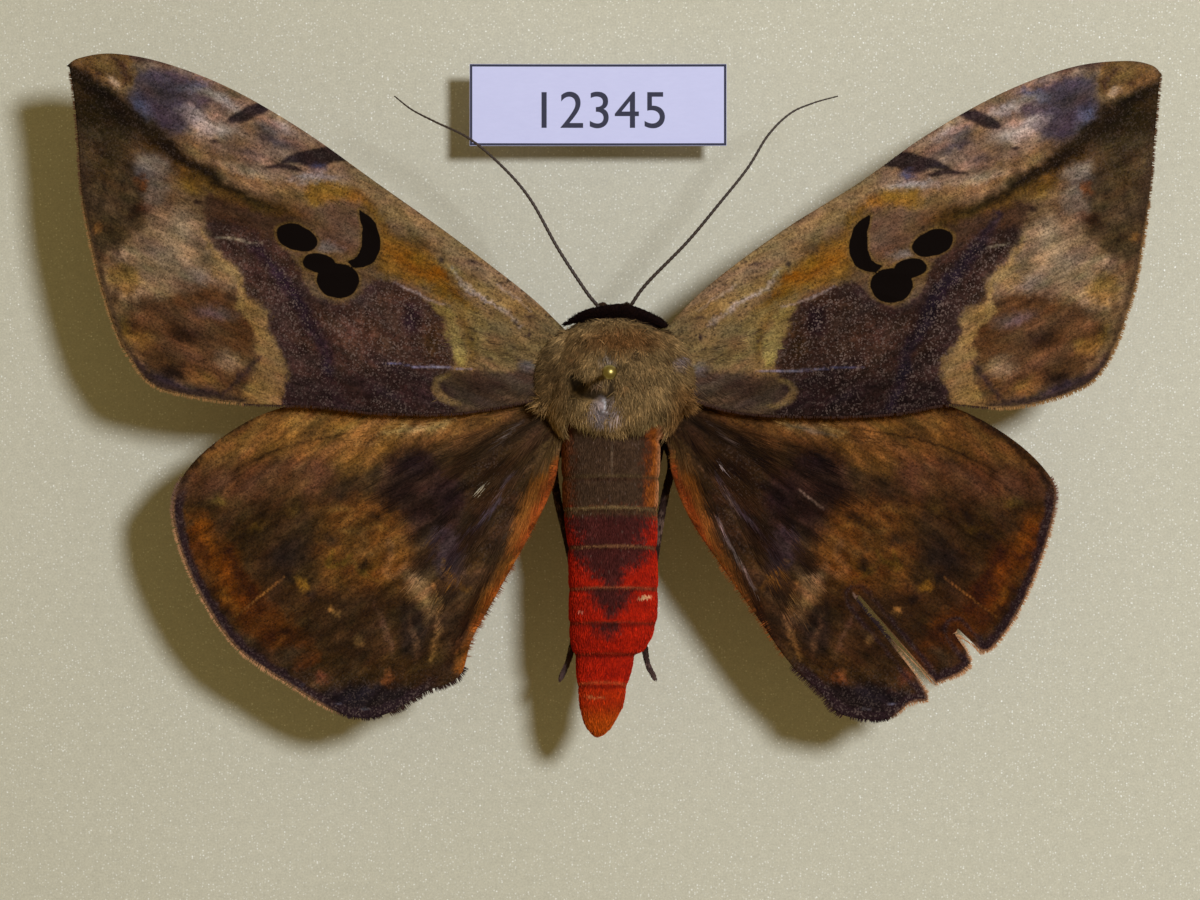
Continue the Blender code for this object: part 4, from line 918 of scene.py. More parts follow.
def forewing_paint(places, edge, side):
    """The forewing's colours, its amount of pale scales and its depth of black ink."""
    level = places.copy()
    if side == "right":
        level[:, 1] += 0.017 * places[:, 0]
    marks = FOREWING_MARKS + OWN_MARKS["forewing_" + side]
    colours = painted(level, (96, 72, 48), marks, 3 if side == "left" else 4)
    outer = ease(23.5, 26.5, level[:, 0]) * ease(21.5, 18.5, level[:, 1])
    costa = ease(17.6, 19.6, level[:, 1]) * ease(17.0, 19.0, level[:, 0])
    field = ease(-0.6, 0.8, mark_depth(level, MEDIAN_FIELD))
    lie = along_wing(level, FOREWING_ROOT, FOREWING_WAY)
    colours = mottled(lie, colours, 0.36 + 0.16 * outer + 0.12 * costa, 23)
    waves = cloud(level @ np.array([[1.0, 0.0], [0.16, 1.0]]), (0.5, 1.5), 57, 3)
    colours *= np.exp(0.5 * waves * outer * ease(30.5, 33.5, level[:, 0]))[:, None]
    colours *= np.exp(0.45 * noise(level, 0.3, 59) * field)[:, None]
    near_root = ease(12.5, 9.5, level[:, 0]) * ease(5.0, 6.5, level[:, 1])
    specks = noise(lie, (0.35, 0.14), 47)
    colours = over(colours, (52, 38, 30), near_root * 0.8 * ease(0.55, 0.8, specks))
    ink = ink_depth(level + 0.05 * columns(noise(level, 0.5, 41), noise(level, 0.5, 43)))
    colours = over(colours, (104, 78, 32), 0.5 * ease(-0.2, -0.06, ink))
    frost = np.clip(0.03 + 0.6 * field * (0.8 + 1.2 * cloud(level, 2.2, 53)) + 0.15 * costa, 0, 1)
    low = ease(22.5, 20.0, level[:, 1]) * ease(23.5, 25.0, level[:, 0])
    colours = over(colours, (56, 40, 28), 0.6 * ease(0.75, 0.45, edge) * low)
    pale_rim = ease(0.34, 0.16, edge) * ease(19.0, 14.0, level[:, 1])
    colours = over(colours, (150, 112, 70), 0.8 * pale_rim * low)
    # The right forewing is painted a tenth brighter as painted light, and darker over its median field.
    if side == "right":
        colours *= (1.1 - 0.5 * field)[:, None]
    return colours, frost, ink


def hindwing_paint(places, edge, side):
    """The hindwing's colours, its amount of pale scales and no black ink."""
    marks = HINDWING_MARKS + OWN_MARKS["hindwing_" + side]
    colours = painted(places, (60, 41, 24), marks, 5 if side == "left" else 6)
    lie = along_wing(places, HINDWING_ROOT, HINDWING_WAY)
    reach = root_angle(places, HINDWING_ROOT)[0]
    colours = mottled(lie, colours, 0.6, 61)
    streaks = cloud(lie, (2.6, 0.3), 71, 2)
    colours *= np.exp((0.12 + 0.5 * ease(19.0, 9.0, reach)) * streaks)[:, None]
    rim = ease(-1.0, -4.0, places[:, 1]) * ease(11.5, 13.5, places[:, 0])
    for tear in TEARS if side == "right" else []:
        away, _ = line_distance(places, np.array(tear))
        mouth = np.linalg.norm(places - tear[1], axis=1)
        rim = rim * np.clip(ease(0.5, 0.9, away) + ease(1.5, 1.0, mouth), 0, 1)
    band = ease(1.0, 0.7, edge + 0.14 * noise(places, 0.5, 67)) * rim
    colours = over(colours, (42, 28, 32), 0.88 * band)
    pale_rim = ease(0.36, 0.24, edge) * ease(18.5, 20.5, places[:, 0])
    colours = over(colours, (152, 112, 80), 0.9 * pale_rim * rim)
    low = ease(-14.0, -17.0, places[:, 1])
    inner = ease(-1.0, 1.0, mark_depth(places, INNER_SHADE))
    frost = np.clip(0.03 + 0.25 * low + 0.2 * inner + 0.25 * band, 0, 1)
    if side == "right":
        front = ease(-2.0, 0.5, places[:, 1])
        rear = ease(-11.0, -14.0, places[:, 1])
        colours *= np.array([0.78, 0.7, 0.67]) * (1 - 0.25 * front + 0.2 * rear)[:, None]
    return colours, frost, np.full(len(places), -1.0)


def under_paint(places, marks):
    """The plainer ochre colours of a wing's underside."""
    colours = painted(places, (132, 90, 54), marks, 81)
    return mottled(along_wing(places, FOREWING_ROOT, 0.0), colours, 0.4, 83)


# The wings

Wing = namedtuple("Wing", "name arcs veins height paint under root way")
FORE = Wing(
    "forewing", FOREWING, FOREWING_VEINS, forewing_height, forewing_paint, UNDER_FORE_MARKS,
    FOREWING_ROOT, FOREWING_WAY,
)
HIND = Wing(
    "hindwing", HINDWING, HINDWING_VEINS, hindwing_height, hindwing_paint, UNDER_HIND_MARKS,
    HINDWING_ROOT, HINDWING_WAY,
)


def wing_points(outline):
    """Points over the wing at the mesh's spacing, kept a little off its edge."""
    low, high = outline.min(axis=0), outline.max(axis=0)
    across = np.arange(low[0], high[0], MESH_STEP)
    down = np.arange(low[1], high[1], MESH_STEP * 0.87)
    grid_x, grid_y = np.meshgrid(across, down)
    shift = (np.arange(len(down)) % 2)[:, None] * MESH_STEP / 2
    field = columns((grid_x + shift).ravel(), grid_y.ravel())
    field = field[inside(field, outline)]
    reach, _ = line_distance(field, np.vstack([outline, outline[:1]]))
    return field[reach > MESH_STEP * 0.55]


def vein_reach(places, veins):
    """The nearest vein's distance at each place."""
    return np.min([line_distance(places, smooth_curve(vein, 1.5))[0] for vein in veins], axis=0)


def make_wing(wing, side, material):
    """One wing: a thin membrane with its veins, and its colours above and below."""
    rough_edge = wing_outline(wing.arcs[side], MESH_STEP)
    inset = FRINGE * ease(*FRINGE_START, rough_edge[:, 0])
    if wing is FORE:
        inset[: len(wing_outline(wing.arcs[side][:1], MESH_STEP))] *= COSTA_FRINGE
    outline = pulled_in(rough_edge, inset)
    count = len(outline)
    edges = [(k, (k + 1) % count) for k in range(count)]
    points = [Vector(p) for p in np.vstack([outline, wing_points(outline)])]
    corners, _, faces, *_ = delaunay_2d_cdt(points, edges, [list(range(count))], 1, 1e-5)
    places = np.array([tuple(c) for c in corners])
    ridge = np.exp(-((vein_reach(places, wing.veins) / VEIN_BREADTH) ** 2))
    relief = VEIN_RISE * ridge + 0.05 * cloud(places, 3.0, 71)
    tops = WING_PLANE + wing.height(places) + relief + MEMBRANE / 2
    bm = bmesh.new()
    sheet = [bm.verts.new((MIDLINE + SIDES[side] * x, y, z)) for (x, y), z in zip(places, tops)]
    for face in faces:
        bm.faces.new([sheet[k] for k in face])
    bmesh.ops.delete(bm, geom=[v for v in bm.verts if not v.link_faces], context="VERTS")
    bmesh.ops.recalc_face_normals(bm, faces=bm.faces)
    if sum(f.normal.z for f in bm.faces) < 0:
        bmesh.ops.reverse_faces(bm, faces=bm.faces)
    bmesh.ops.solidify(bm, geom=bm.faces[:], thickness=MEMBRANE)
    bm.normal_update()
    name = f"{wing.name}_{side}"
    made = new_piece(name + "_scaled", bm, material)
    finish_wing(made.data, rough_edge, wing, side)
    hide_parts(name)


def finish_wing(mesh, rough_edge, wing, side):
    """Gives a wing its colours, its other attributes and its unwrap."""
    x, y, _ = places_of(mesh).T
    flat = columns((x - MIDLINE) * SIDES[side], y)
    edge, _ = line_distance(flat, np.vstack([rough_edge, rough_edge[:1]]))
    above = normals_of(mesh)[:, 2] > 0
    colours, frost, ink = wing.paint(flat, edge, side)
    give_colour(mesh, np.where(above[:, None], colours, under_paint(flat, wing.under)))
    give_number(mesh, "frost", np.where(above, frost, 0.1))
    give_number(mesh, "ink", np.where(above, ink, -1.0))
    give_number(mesh, "rib", vein_reach(flat, wing.veins))
    lie = np.zeros((len(flat), 3), np.float32)
    lie[:, :2] = along_wing(flat, wing.root, wing.way)
    mesh.attributes.new("lie", "FLOAT_VECTOR", "POINT").data.foreach_set("vector", lie.ravel())
    unwrap_wing(mesh, flat, above)


def unwrap_wing(mesh, flat, above):
    """The wing's own flat shape as its unwrap: the upper side in one half, the lower in the other."""
    corners = numbers_of(mesh.loops, "vertex_index", 1, np.int32)[:, 0]
    low = flat[:, 1].min() - 0.5
    uv = columns(np.clip(flat[:, 0] / UNWRAP_REACH, 0, 1), (flat[:, 1] - low) / UNWRAP_DEPTH + 0.5 * above)
    give_unwrap(mesh, uv[corners])


# Coats of tufts

class Coat:
    """Tufts gathered for one piece, each a slim tapered blade with a root, a bend and a tip."""

    def __init__(self, seed):
        self.draw = np.random.default_rng(seed)
        self.rows = []

    def varied(self, count, middle, amount, low, high):
        """Numbers that differ at random from the middle, kept between low and high."""
        return np.clip(middle + amount * self.draw.standard_normal(count), low, high)

    def add(self, roots, normals, ways, lengths, widths, lifts, tints, patches):
        """Tufts at these roots, growing along ways, raised by lifts, with their unwrap places."""
        count = len(roots)
        full = lambda value: np.broadcast_to(np.asarray(value, float), (count,))
        self.rows.append(
            (roots, normals, ways, full(lengths), full(widths), full(lifts), tints, patches)
        )

    def build(self, name, material):
        """The gathered tufts as one mesh."""
        roots, normals, ways, lengths, widths, lifts, tints, patches = (
            np.concatenate([row[k] for row in self.rows]) for k in range(8)
        )
        count = len(roots)
        ways = unit(ways - normals * np.sum(ways * normals, axis=1)[:, None])
        across = np.cross(normals, ways)
        points, uv, shades = [], [], []
        # Each blade is painted darker at its root, as painted shade in the gaps between tufts, and a little
        # lighter at its tip.
        for share, wide, dark in ((0.0, 0.75, 0.72), (0.5, 1.0, 0.95)):
            rise = lifts * share * (1.35 - 0.7 * share)
            centre = roots + ways * (lengths * share)[:, None] + normals * (lengths * rise)[:, None]
            half = across * (widths * wide / 2)[:, None]
            ridge = normals * (widths * wide * 0.45)[:, None]
            for place, u in ((centre - half, -0.5), (centre + ridge, 0.0), (centre + half, 0.5)):
                points.append(place)
                uv.append(patches + 0.003 * np.array([u, share]))
                shades.append(tints * dark)
        rise = lifts * 0.65
        points.append(roots + ways * lengths[:, None] + normals * (lengths * rise)[:, None])
        uv.append(patches + 0.003 * np.array([0.0, 1.0]))
        shades.append(tints * 1.12)
        stack = lambda rows: np.stack(rows, axis=1).reshape(count * 7, -1)
        pattern = np.array(
            [(0, 3, 4), (0, 4, 1), (1, 4, 5), (1, 5, 2), (2, 5, 3), (2, 3, 0),
             (3, 6, 4), (4, 6, 5), (5, 6, 3), (0, 1, 2)]
        )
        faces = (pattern[None] + 7 * np.arange(count)[:, None, None]).reshape(-1, 3)
        mesh = bpy.data.meshes.new(name)
        mesh.from_pydata(stack(points) * MM, [], faces)
        give_colour(mesh, stack(shades))
        give_unwrap(mesh, stack(uv)[faces.ravel()])
        return add_piece(name, mesh, material, smooth=False)


def sampled(mesh, draw, count, keep=None):
    """Random places on a mesh's faces with their normals."""
    places, normals = places_of(mesh), normals_of(mesh)
    mesh.calc_loop_triangles()
    tris = numbers_of(mesh.loop_triangles, "vertices", 3, np.int32)
    a, b, c = (places[tris[:, k]] for k in range(3))
    area = np.linalg.norm(np.cross(b - a, c - a), axis=1)
    if keep is not None:
        area = area * keep((a + b + c) / 3)
    chosen = draw.choice(len(tris), count, p=area / area.sum())
    u, v = draw.random(count), draw.random(count)
    flip = u + v > 1
    u, v = np.where(flip, 1 - u, u), np.where(flip, 1 - v, v)
    w = 1 - u - v
    mix = lambda rows: sum(rows[tris[chosen, k]] * share[:, None] for k, share in enumerate((w, u, v)))
    return mix(places), unit(mix(normals))


# The body

FUR_DEPTH = 0.32
SCALE_DEPTH = 0.1
THORAX = [
    (8.85, 1.5, 1.5, 1.2),
    (8.55, 2.5, 1.15, 2),
    (8, 3.35, 0.6, 2.9),
    (7, 4.15, 0.2, 3.7),
    (5.6, 4.65, 0, 4.15),
    (4.1, 4.8, 0, 4.25),
    (3, 4.65, -0.1, 4.1),
    (2.1, 4.3, -0.3, 3.8),
    (1.45, 3.9, -0.5, 3.4),
]
LAPPET = [
    (3, 8, 1, 0.45, 0.3),
    (3.7, 6.9, 1.4, 0.9, 0.45),
    (4.1, 5.4, 1.45, 1, 0.45),
    (4.2, 4.2, 1.3, 0.9, 0.4),
    (4.2, 3.4, 1.1, 0.6, 0.3),
    (4.2, 3, 1, 0.3, 0.2),
]
COLLAR = [
    (-3.6, 8.34, 1, 0.1, 0.35),
    (-2.8, 8.76, 1.7, 0.2, 0.7),
    (-1.95, 9.08, 2.15, 0.3, 0.95),
    (-0.8, 9.24, 2.4, 0.4, 1.05),
    (0.2, 9.3, 2.42, 0.5, 1.1),
    (1, 9.22, 2.35, 0.5, 1.05),
    (1.8, 9.04, 2.1, 0.42, 0.95),
    (2.5, 8.8, 1.75, 0.36, 0.8),
    (3.1, 8.56, 1.35, 0.3, 0.6),
    (3.55, 8.36, 1, 0.16, 0.4),
]
ABDOMEN = [
    (0.7, 0.75, 3.45),
    (-1.75, 0.72, 3.4),
    (-3.9, 0.7, 3.3),
    (-6.5, 0.85, 3.1),
    (-9.3, 0.92, 3.12),
    (-11.65, 0.88, 3.08),
    (-12.7, 0.75, 2.9),
    (-13.7, 0.56, 2.5),
    (-13.95, 0.35, 2.14),
    (-15, 0.27, 1.97),
    (-15.9, 0.17, 1.8),
    (-17.5, 0.09, 1.56),
    (-18.5, -0.05, 1.16),
    (-18.9, -0.08, 0.94),
    (-19.35, -0.12, 0.56),
    (-19.6, -0.16, 0.2),
]
SEAMS = [0.7, -1.75, -3.9, -6.5, -9.3, -11.65, -13.8, -15.9]
HEAD_CENTRE = (0.0, 7.75, -1.75)
HEAD_RADII = (1.7, 1.75, 1.65)
NECK_CENTRE = (0.0, 7.0, -0.6)
NECK_RADII = (1.6, 1.4, 1.6)
EYE_CENTRE = (1.5, 8.3, -1.8)
EYE_RADIUS = 1.05
SKIN_GRAIN = 0.13


def abdomen_at(y):
    """The abdomen's middle, half width and height at these places along it."""
    ys, xs, halves = (np.array(column) for column in zip(*ABDOMEN))
    height = -0.8 - 0.45 * (ys[0] - y) / (ys[0] - ys[-1])
    return np.interp(-y, -ys, xs), np.interp(-y, -ys, halves), height


def abdomen_rows():
    """The abdomen's fine rings: each ring of scales swells and ends in a step over the next."""
    rows = []
    for y in np.arange(ABDOMEN[0][0], ABDOMEN[-1][0], -0.1):
        x, half, height = abdomen_at(y)
        seam = next((s for s in reversed(SEAMS) if y <= s), SEAMS[0])
        half = max(half - SCALE_DEPTH - 0.15 * math.exp((y - seam) / 0.35), 0.06)
        rows.append((y, x, half, height, half * 0.88))
    return rows


def body_rings(rows):
    """Ellipses of the body from rows of (y, x, half width, height, half height)."""
    return [((x, y, WING_PLANE + up), (half, 0, 0), (0, 0, tall)) for y, x, half, up, tall in rows]


def trunk():
    """The thorax and the abdomen as one skin, under their fur and scales."""
    thorax = [(y, MIDLINE, half - FUR_DEPTH, up, tall - FUR_DEPTH) for y, half, up, tall in THORAX]
    rows = [tuple(row) for row in smooth_curve(thorax, 0.3)]
    waist = (0.95, MIDLINE, 3.35, -0.75, 2.9)
    return loft(body_rings(rows + [waist] + abdomen_rows()), 64)


def lappet(side):
    """One flat shoulder lappet, under its fur."""
    rows = smooth_curve(LAPPET, 0.4)
    return loft([
        (on_body(side, out, y, up), (side * half, 0, -0.3 * half), (0, 0, thick))
        for out, y, up, half, thick in rows
    ], 24)


def collar_band():
    """The raised band of dark scales behind the feelers."""
    rows = smooth_curve(COLLAR, 0.3)
    rings = []
    for k, (out, y, up, half, tall) in enumerate(rows):
        ahead = Vector((rows[min(k + 1, len(rows) - 1)] - rows[max(k - 1, 0)])[:2]).to_3d().normalized()
        beside = Vector((-ahead.y, ahead.x, 0))
        lean = Vector((0, 0.25, 1)).normalized()
        rings.append((on_body(1, out, y, up), beside * max(half - 0.1, 0.06), lean * (tall - 0.1)))
    return loft(rings, 20)


def joined(parts):
    """Several closed shapes as one mesh in millimetres."""
    whole = bmesh.new()
    for part in parts:
        mesh = bpy.data.meshes.new("part")
        part.to_mesh(mesh)
        part.free()
        whole.from_mesh(mesh)
        bpy.data.meshes.remove(mesh)
    return whole


def fused(name, parts, voxel):
    """Several shapes melted into one skin by remeshing."""
    whole = joined(parts)
    mesh = bpy.data.meshes.new(name)
    whole.to_mesh(mesh)
    whole.free()
    rough = placed(name, mesh)
    remesh = rough.modifiers.new("melt", "REMESH")
    remesh.mode = "VOXEL"
    remesh.voxel_size = voxel
    soften = rough.modifiers.new("soften", "SMOOTH")
    soften.factor = 0.5
    soften.iterations = 4
    done = settled(rough)
    bm = bmesh.new()
    bm.from_mesh(done)
    bpy.data.meshes.remove(done)
    return bm


def palp(side):
    """One palp, curved up in front of the face."""
    rows = [
        (0.75, 8.3, -3.0, 0.28), (0.85, 9.2, -3.3, 0.36), (0.85, 9.6, -2.75, 0.38),
        (0.82, 9.7, -2.0, 0.33), (0.75, 9.75, -1.5, 0.22), (0.7, 9.85, -1.15, 0.08),
    ]
    stations = at_stations([(*on_body(side, *row[:3]), row[3]) for row in rows], 24)
    return tube(stations, 16)


# The bare dent in the thorax, painted near black as the shade inside it.
SHADED_DENT = [(-1.7, 4.9, 0.2), (-1.5, 4.3, 0.46), (-0.8, 3.85, 0.4), (0.1, 3.6, 0.34), (0.75, 3.9, 0.24),
        (0.7, 4.6, 0.14)]
RUBBED = (0.5, 2.85, 0.9, 0.6, -10)
THORAX_PATCHES = [
    ((116, 76, 40), 1.2, (1.4, 7.5, 2.4, 0.7, 0)),
    # Painted shade on the thorax's left flank, the side away from the lamp.
    ((78, 57, 33), 1.6, (-3, 4.6, 1.2, 2, 0)),
    ((96, 72, 42), 1, (-1.4, 6.6, 0.8, 1, 0)),
    ((124, 99, 64), 1.2, (2.2, 5, 0.9, 1.3, 0)),
    ((112, 78, 42), 1.2, (5.4, 3.2, 1, 1.4, 0)),
    ((124, 94, 56), 1.2, (-3.4, 3, 0.8, 1.2, 0)),
    ((134, 118, 120), 0.6, (5.2, 6.1, 0.4, 0.3, 30)),
    ((134, 120, 108), 0.5, (0.65, 6.15, 0.5, 0.26, 0)),
    ((54, 38, 26), 0.4, (2.4, 6.4, 0.16, 0.4, 10)),
    ((54, 38, 26), 0.4, (2.3, 5.4, 0.12, 0.4, 0)),
    ((96, 78, 62), 0.5, (-0.3, 4.5, 0.7, 0.35, 0)),
    # The dent is painted near black, as painted shade inside the bare pit.
    ((16, 10, 8), 0.3, SHADED_DENT),
    ((156, 140, 140), 0.5, RUBBED),
    ((116, 97, 54), 0.9, (-1.2, 1.7, 0.6, 0.5, -40)),
    ((120, 101, 64), 0.8, (3.1, 1.9, 1.1, 0.5, 35)),
]
ABDOMEN_LINES = [
    (-1.75, 0.14, (94, 75, 48), 0.6),
    (-3.9, 0.11, (140, 112, 72), 0.8),
    (-4.15, 0.25, (86, 67, 40), 0.5),
    (-6.5, 0.09, (140, 98, 62), 0.7),
    (-9.3, 0.09, (140, 84, 52), 0.6),
    (-11.65, 0.08, (104, 50, 30), 0.5),
    (-13.8, 0.08, (140, 58, 34), 0.45),
    (-15.8, 0.1, (180, 82, 42), 0.7),
]
ABDOMEN_WEDGES = [
    (-3.9, 1, -11.5),
    (-6.5, 0.95, -9.5),
    (-9.3, 0.55, -11.5),
    (-11.65, 0.34, -12.9),
]
ABDOMEN_SPOTS = [
    ((224, 178, 128), (3, -10, 0.42, 0.13, 8)),
    ((204, 132, 108), (-1.3, -11, 0.14, 0.08, 0)),
    ((196, 112, 64), (-0.3, -16.8, 0.6, 0.08, -4)),
    ((104, 84, 66), (0.8, -0.5, 0.06, 1, 0)),
]


def thorax_paint(places):
    """The thorax's olive-brown fur with its flecks, its rubbed patch with painted glints, and painted shade
    in its dent and on its left flank.
    """
    plane = places[:, :2]
    colours = plain(places, (122, 97, 62))
    moved = plane + 0.2 * columns(noise(plane, 0.5, 83), noise(plane, 0.5, 84))
    for colour, softness, shape in THORAX_PATCHES:
        colours = over(colours, colour, 0.85 * ease(-softness / 2, softness / 2, mark_depth(moved, shape)))
    rubbed = ease(-0.1, 0.3, disc_depth(plane, *RUBBED))
    glints = ease(0.4, 0.6, noise(places, 0.16, 95)) * rubbed
    colours = over(colours, (222, 218, 222), 0.85 * glints)
    flecks = ease(0.35, 0.7, cloud(places, 0.42, 93))
    colours = over(colours, (98, 56, 28), 0.45 * flecks * ease(3.0, 5.0, places[:, 1]))
    low = ease(WING_PLANE - 0.5, WING_PLANE - 2.5, places[:, 2])
    colours = over(colours, (130, 96, 60), low * 0.8)
    wide = cloud(places, 0.8, 91)
    fine = noise(places, 0.24, 92)
    return colours * np.exp(0.7 * wide + 0.65 * fine)[:, None]


def abdomen_paint(places):
    """The abdomen: dark above in front, red behind and at the sides, orange at the tip."""
    x, y, z = places.T
    middle, half, height = abdomen_at(y)
    half = np.maximum(half, 0.3)
    across = (x - middle) / half
    above = ease(-0.25, 0.35, (z - WING_PLANE - height) / half)
    powder = 0.2 * noise(places, 0.12, 103) + 0.14 * noise(places, 0.5, 104)
    colours = plain(places, (168, 30, 9))
    colours = over(colours, (122, 23, 9), 0.45 * ease(0.1, 0.6, cloud(places, 1.3, 105)))
    front = ease(-4.9, -3.6, y + 2.5 * powder)
    colours = over(colours, (92, 34, 13), front)
    left = ease(0.6, 0.95, 0.5 * powder - across) * front
    colours = over(colours, (98, 52, 22), 0.8 * left)
    right = ease(0.6, 0.95, across + 0.5 * powder) * front
    colours = over(colours, (148, 80, 28), right)
    colours = over(colours, (170, 120, 84), 0.7 * ease(0.86, 0.98, across) * front)
    back = ease(0.88, 0.6, np.abs(across + 0.04) + 0.5 * powder) * above
    colours = over(colours, (70, 50, 35), front * back)
    wedge = np.zeros(len(places))
    for seam, wide, tip in ABDOMEN_WEDGES:
        share = (seam - y) / (seam - tip)
        inner = wide * (1 - 0.95 * np.clip(share, 0, 1) ** 1.1) - np.abs(across + 0.06) + powder
        until = next((s for s in SEAMS if s < seam - 0.1), tip)
        wedge = np.maximum(wedge, ease(-0.26, 0.26, inner) * (share > 0) * (share < 1) * (y > until))
    colours = over(colours, (54, 31, 28), wedge * above * 0.92)
    pale = ease(0.62, 0.85, noise(places, 0.13, 107)) * (wedge + front * back)
    colours = over(colours, (120, 96, 84), np.clip(0.4 * pale * above, 0, 1))
    colours = over(colours, (170, 46, 9), 0.9 * ease(-15.7, -16.6, y))
    colours = over(colours, (178, 78, 14), 0.8 * ease(-17.0, -18.8, y))
    curved = y + 0.22 * np.clip(np.abs(across), 0, 1) ** 2
    for seam, wide, colour, strength in ABDOMEN_LINES:
        line = np.exp(-(((curved - seam + 0.1 * powder) / wide) ** 2))
        colours = over(colours, colour, line * above * strength)
    for seam in SEAMS[1:]:
        shade = np.exp(-(((y - seam + 0.2) / 0.12) ** 2))
        colours = over(colours, (46, 14, 8), shade * 0.5)
    for colour, shape in ABDOMEN_SPOTS:
        spot = ease(-0.06, 0.06, disc_depth(places[:, :2], *shape))
        colours = over(colours, colour, 0.8 * spot * above)
    light = 1 + 0.22 * cloud(places, 0.7, 111) + 0.2 * noise(places, 0.2, 112)
    return colours * np.clip(light, 0.4, 1.7)[:, None]


def collar_reach(places, rows):
    """Each place's distance to the collar's middle line, seen from above."""
    line = np.array([(MIDLINE + row[0], row[1]) for row in rows])
    return line_distance(places[:, :2], line)[0]


def body_paint(places):
    """The body's colours at any place: collar, head, thorax and abdomen."""
    x, y, z = places.T
    out = np.abs(x - MIDLINE)
    up = z - WING_PLANE
    thorax = y + 0.3 * noise(places, 0.4, 121) > rear_edge(places)
    colours = np.where(thorax[:, None], thorax_paint(places), abdomen_paint(places))
    reach = collar_reach(places, smooth_curve(COLLAR, 0.3))
    collar = ease(0.6, 0.42, reach) * ease(1.0, 2.2, up + 0.3 * out)
    colours = over(colours, (24, 11, 6), collar)
    face = ease(-0.2, -0.5, up) * ease(6.6, 7.2, y) * ease(3.0, 2.6, out)
    return over(colours, (58, 40, 28), face)


def make_body(material):
    """The skin of head, collar, thorax and abdomen, melted into one."""
    parts = [trunk(), collar_band()]
    parts += [lappet(way) for way in SIDES.values()]
    parts += [palp(way) for way in SIDES.values()]
    parts.append(ball(on_body(1, *HEAD_CENTRE), HEAD_RADII, 40, 24))
    parts.append(ball(on_body(1, *NECK_CENTRE), NECK_RADII, 40, 24))
    body = new_piece("body_skin", fused("body", parts, SKIN_GRAIN), material)
    give_colour(body.data, body_paint(places_of(body.data)))
    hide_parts("thorax", "abdomen", "collar", "head", "palp_left", "palp_right")
    return body


def around_body(places):
    """The body's unwrap: the turn about its long axis and the place along it."""
    turn = np.arctan2(places[:, 2] - WING_PLANE + 0.4, places[:, 0] - MIDLINE)
    return columns(turn / (2 * math.pi) + 0.5, (places[:, 1] + 20.5) / 32)


def fur_tints(places, draw, spread):
    """The body's colours with each tuft a little its own."""
    own = np.exp(spread * draw.standard_normal(len(places)))
    return body_paint(places) * np.clip(own, 0.5, 2.0)[:, None]


def rear_edge(places):
    """How far back the thorax reaches: an arc, furthest in the middle and at the shoulders."""
    out = np.abs(places[:, 0] - MIDLINE)
    above = ease(WING_PLANE - 1.5, WING_PLANE, places[:, 2])
    return 1.15 + 0.11 * out**2 * above * ease(3.7, 3.2, out)


def thorax_free(places):
    """Where the thorax carries fur: behind the collar, above the face and out of the dent."""
    flat = places[:, :2]
    x, y, z = places.T
    under = (z < WING_PLANE - 0.3) & (y > 6.8) & (np.abs(x - MIDLINE) < 2.6)
    dent = np.maximum(mark_depth(flat, SHADED_DENT), mark_depth(flat - [0, 0.3], SHADED_DENT))
    bare = under | (dent >= -0.1) | (disc_depth(flat, *RUBBED) >= 0.1)
    return (collar_reach(places, COLLAR) > 0.35) & ~bare & (y > rear_edge(places) + 0.3)


def furred(body, coat, count, keep):
    """Random roots on the thorax where it carries fur."""
    roots, normals = sampled(body.data, coat.draw, count, keep)
    free = thorax_free(roots)
    return roots[free], normals[free]


def fur_ways(places, draw, mess):
    """The lie of the thorax's fur: towards the tail, and outwards at the shoulders."""
    outwards = np.clip((places[:, 0] - MIDLINE) / 4.0, -1.4, 1.4)
    ways = columns(outwards * np.abs(outwards) + 0.5 * cloud(places, 1.1, 97), -1.0, -0.1)
    return ways + mess * draw.standard_normal(ways.shape)


THORAX_COATS = [
    ("thorax_wool", 201, 19800, 0.42, 0.055, 0.55, 0.6),
    ("thorax_fur", 205, 17000, 0.6, 0.05, 0.4, 0.38),
]


def dress_thorax(body, material):
    """Woolly fur over the thorax: a short messy layer, and longer hairs that lie towards the tail."""
    keep = lambda p: (p[:, 1] > 1.25) * (p[:, 1] < 8.9) * (0.25 + 0.75 * (p[:, 2] > WING_PLANE - 0.8))
    for name, seed, count, long, wide, lift, mess in THORAX_COATS:
        coat = Coat(seed)
        roots, normals = furred(body, coat, count, keep)
        lengths = coat.varied(len(roots), long, 0.3 * long, 0.2, 1.2)
        tints = fur_tints(roots, coat.draw, 0.32)
        ways = fur_ways(roots, coat.draw, mess)
        coat.add(roots, normals, ways, lengths, wide, lift, tints, around_body(roots))
        coat.build(name, material)


def dress_rear(body, material):
    """Longer locks of hair scales at the rear of the thorax and over the wing roots."""
    coat = Coat(211)
    keep = lambda p: (p[:, 1] > 1.3) * (p[:, 1] < 3.9) * (p[:, 2] > WING_PLANE - 0.3)
    roots, normals = furred(body, coat, 7600, keep)
    ways = fur_ways(roots, coat.draw, 0.25)
    shoulder = ease(2.6, 4.2, np.abs(roots[:, 0] - MIDLINE))
    lengths = coat.varied(len(roots), 0.9 + 0.5 * shoulder, 0.22, 0.45, 1.8)
    tints = fur_tints(roots, coat.draw, 0.34) * 1.06
    coat.add(roots, normals, ways, lengths, 0.06, 0.3, tints, around_body(roots))
    coat.build("rear_tufts", material)


